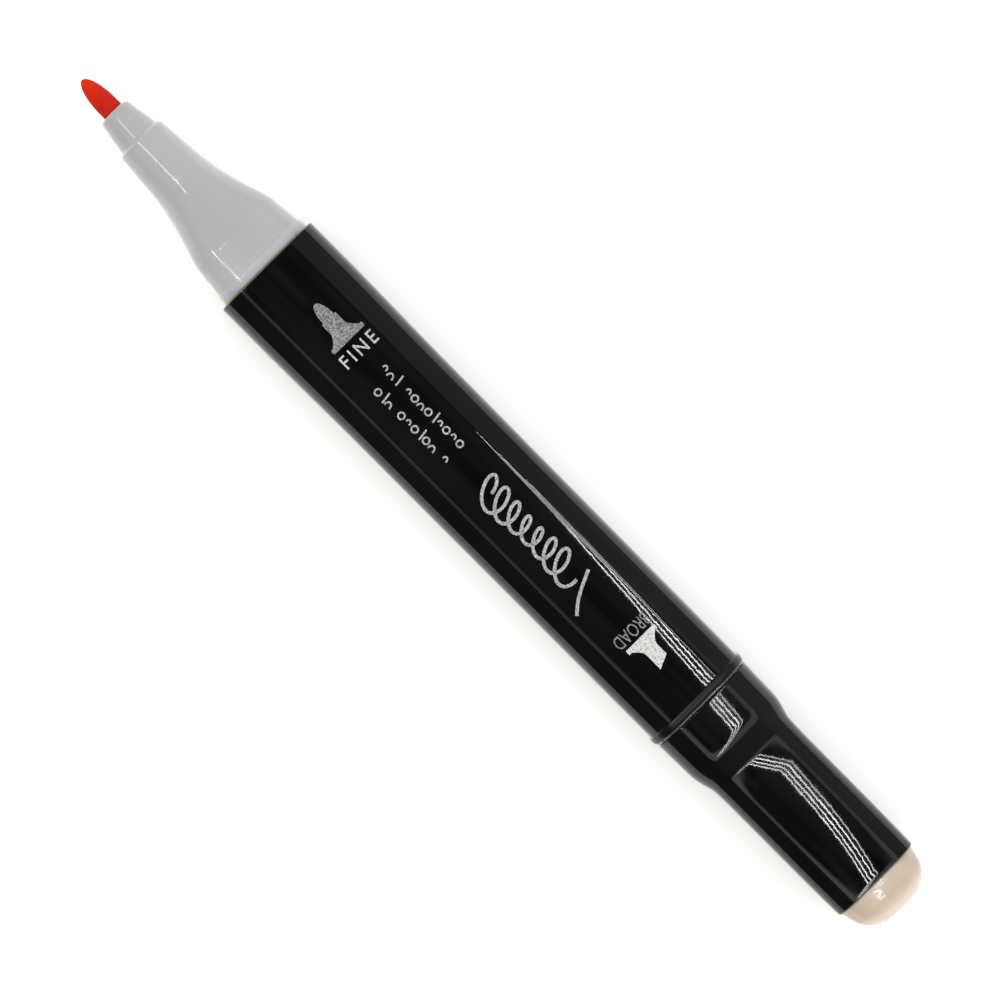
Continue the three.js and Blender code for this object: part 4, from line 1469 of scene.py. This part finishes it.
def matrix_from(x_axis, y_axis, z_axis, origin):
    """A placing matrix from three axes and an origin."""
    rows = [(x_axis[i], y_axis[i], z_axis[i], origin[i]) for i in range(3)]
    return Matrix([*rows, (0, 0, 0, 1)])


def lamp(name, size, watts, place_at, aim, roll_axis, colour=(1, 1, 1), in_gloss=True):
    """A rectangular lamp that shines at a point, its long side along roll_axis."""
    light = bpy.data.lights.new(name, "AREA")
    light.shape = "RECTANGLE"
    light.size, light.size_y = size
    light.energy = watts
    light.color = colour
    holder = bpy.data.objects.new(name, light)
    bpy.context.scene.collection.objects.link(holder)
    back = (Vector(place_at) - Vector(aim)).normalized()
    across_it = Vector(roll_axis).cross(back).normalized()
    along_it = back.cross(across_it)
    holder.matrix_world = matrix_from(along_it, across_it, back, place_at)
    holder.visible_glossy = in_gloss
    return holder


def light_only(holder, piece):
    """Keeps a lamp's light to one piece."""
    group = bpy.data.collections.new(holder.name + "_lights")
    group.objects.link(piece)
    holder.light_linking.receiver_collection = group


# %% [markdown]
# ### Where the lamps hang
#
# All thin lamps hang at one height, so that a place on the floor plan decides where each line
# falls. The four strips run down the camera's view, and the marker lies across them at an angle,
# which is what makes their lines cross its faces slowly.

# %% Lamps
TILT = math.radians(45.2)  # how far the marker is turned clockwise in the camera's view
PICTURE_RIGHT = Vector((math.cos(TILT), math.sin(TILT), 0))
PICTURE_DOWN = Vector((math.sin(TILT), -math.cos(TILT), 0))
centre = Vector((0, 0, AXIS_Z))
STRIP_HEIGHT = 1.0
WARM = (1.0, 0.95, 0.82)

key_at = centre + Vector((0.02, 0.08, 1.3))
lamp("soft_key", (2.6, 2.6), 23.5, key_at, centre, (1, 0, 0), in_gloss=False)

nose_lamp_at = Vector((-0.39, -0.28, AXIS_Z + STRIP_HEIGHT))
nose_lamp_aim = Vector((NOSE_FRONT_X, 0, AXIS_Z))
lamp("nose_strip", (0.42, 0.012), 1.3, nose_lamp_at, nose_lamp_aim, (1, 0, 0), colour=WARM)
cross_at = Vector((-0.4, -0.15, AXIS_Z + STRIP_HEIGHT))
lamp("nose_cross_strip", (0.26, 0.012), 0.4, cross_at, nose_lamp_aim, (0, 1, 0), colour=WARM)

GLINT_PLACES = ((0.50, 0.02), (0.56, -0.03), (0.63, 0.03), (0.7, -0.08))
plug_middle = (PLUG_SEAT_X, 0, AXIS_Z)
for number, (x, y) in enumerate(GLINT_PLACES, 1):
    spot = Vector((x, y, AXIS_Z + STRIP_HEIGHT))
    glint = lamp(f"plug_glint_{number}", (0.09, 0.007), 0.16, spot, plug_middle, (0.3, 1, 0))
    light_only(glint, dome_plug)

STRIP_ACROSS = (126, 139, 154, 169)  # mm to the right of the marker's middle, at the strips' height
STRIP_WATTS = (0.12, 0.14, 0.15, 0.08)
STRIP_FROM, STRIP_TO = -110 * MM, 300 * MM
for number, (across_mm, watts) in enumerate(zip(STRIP_ACROSS, STRIP_WATTS), 1):
    middle = PICTURE_RIGHT * (across_mm * MM) + PICTURE_DOWN * ((STRIP_FROM + STRIP_TO) / 2)
    spot = Vector((middle.x, middle.y, AXIS_Z + STRIP_HEIGHT))
    under = Vector((middle.x, middle.y, 0))
    lamp(f"strip_{number}", (STRIP_TO - STRIP_FROM, 2.6 * MM), watts, spot, under, PICTURE_DOWN)
print("lamps:", len(bpy.data.lights))

# %% [markdown]
# ## Camera
#
# The marker is seen from straight above through a long lens, lying from upper left to lower right.
# A long lens far away keeps both ends nearly the same size. The camera hangs a little towards the
# fine end, so it looks down very slightly aslant at the middle of the marker.

# %% Camera
CAMERA_HEIGHT = 0.74
CAMERA_OVER_X = -14.7 * MM
LENS = 216.6
look_at = Vector((1.2 * MM, 0.1 * MM, AXIS_Z))
eye = Vector((CAMERA_OVER_X, 0, AXIS_Z + CAMERA_HEIGHT))
lens = bpy.data.cameras.new("camera")
lens.lens = LENS
lens.sensor_width = 36.0
lens.clip_start, lens.clip_end = 0.05, 20.0
camera = bpy.data.objects.new("camera", lens)
bpy.context.scene.collection.objects.link(camera)
back = (eye - look_at).normalized()
right = (PICTURE_RIGHT - back * PICTURE_RIGHT.dot(back)).normalized()
camera.matrix_world = matrix_from(right, back.cross(right), back, eye)
bpy.context.scene.camera = camera
bpy.context.scene.view_settings.view_transform = "Standard"
print(f"camera {CAMERA_HEIGHT:.2f} m above the axis, lens {LENS} mm")
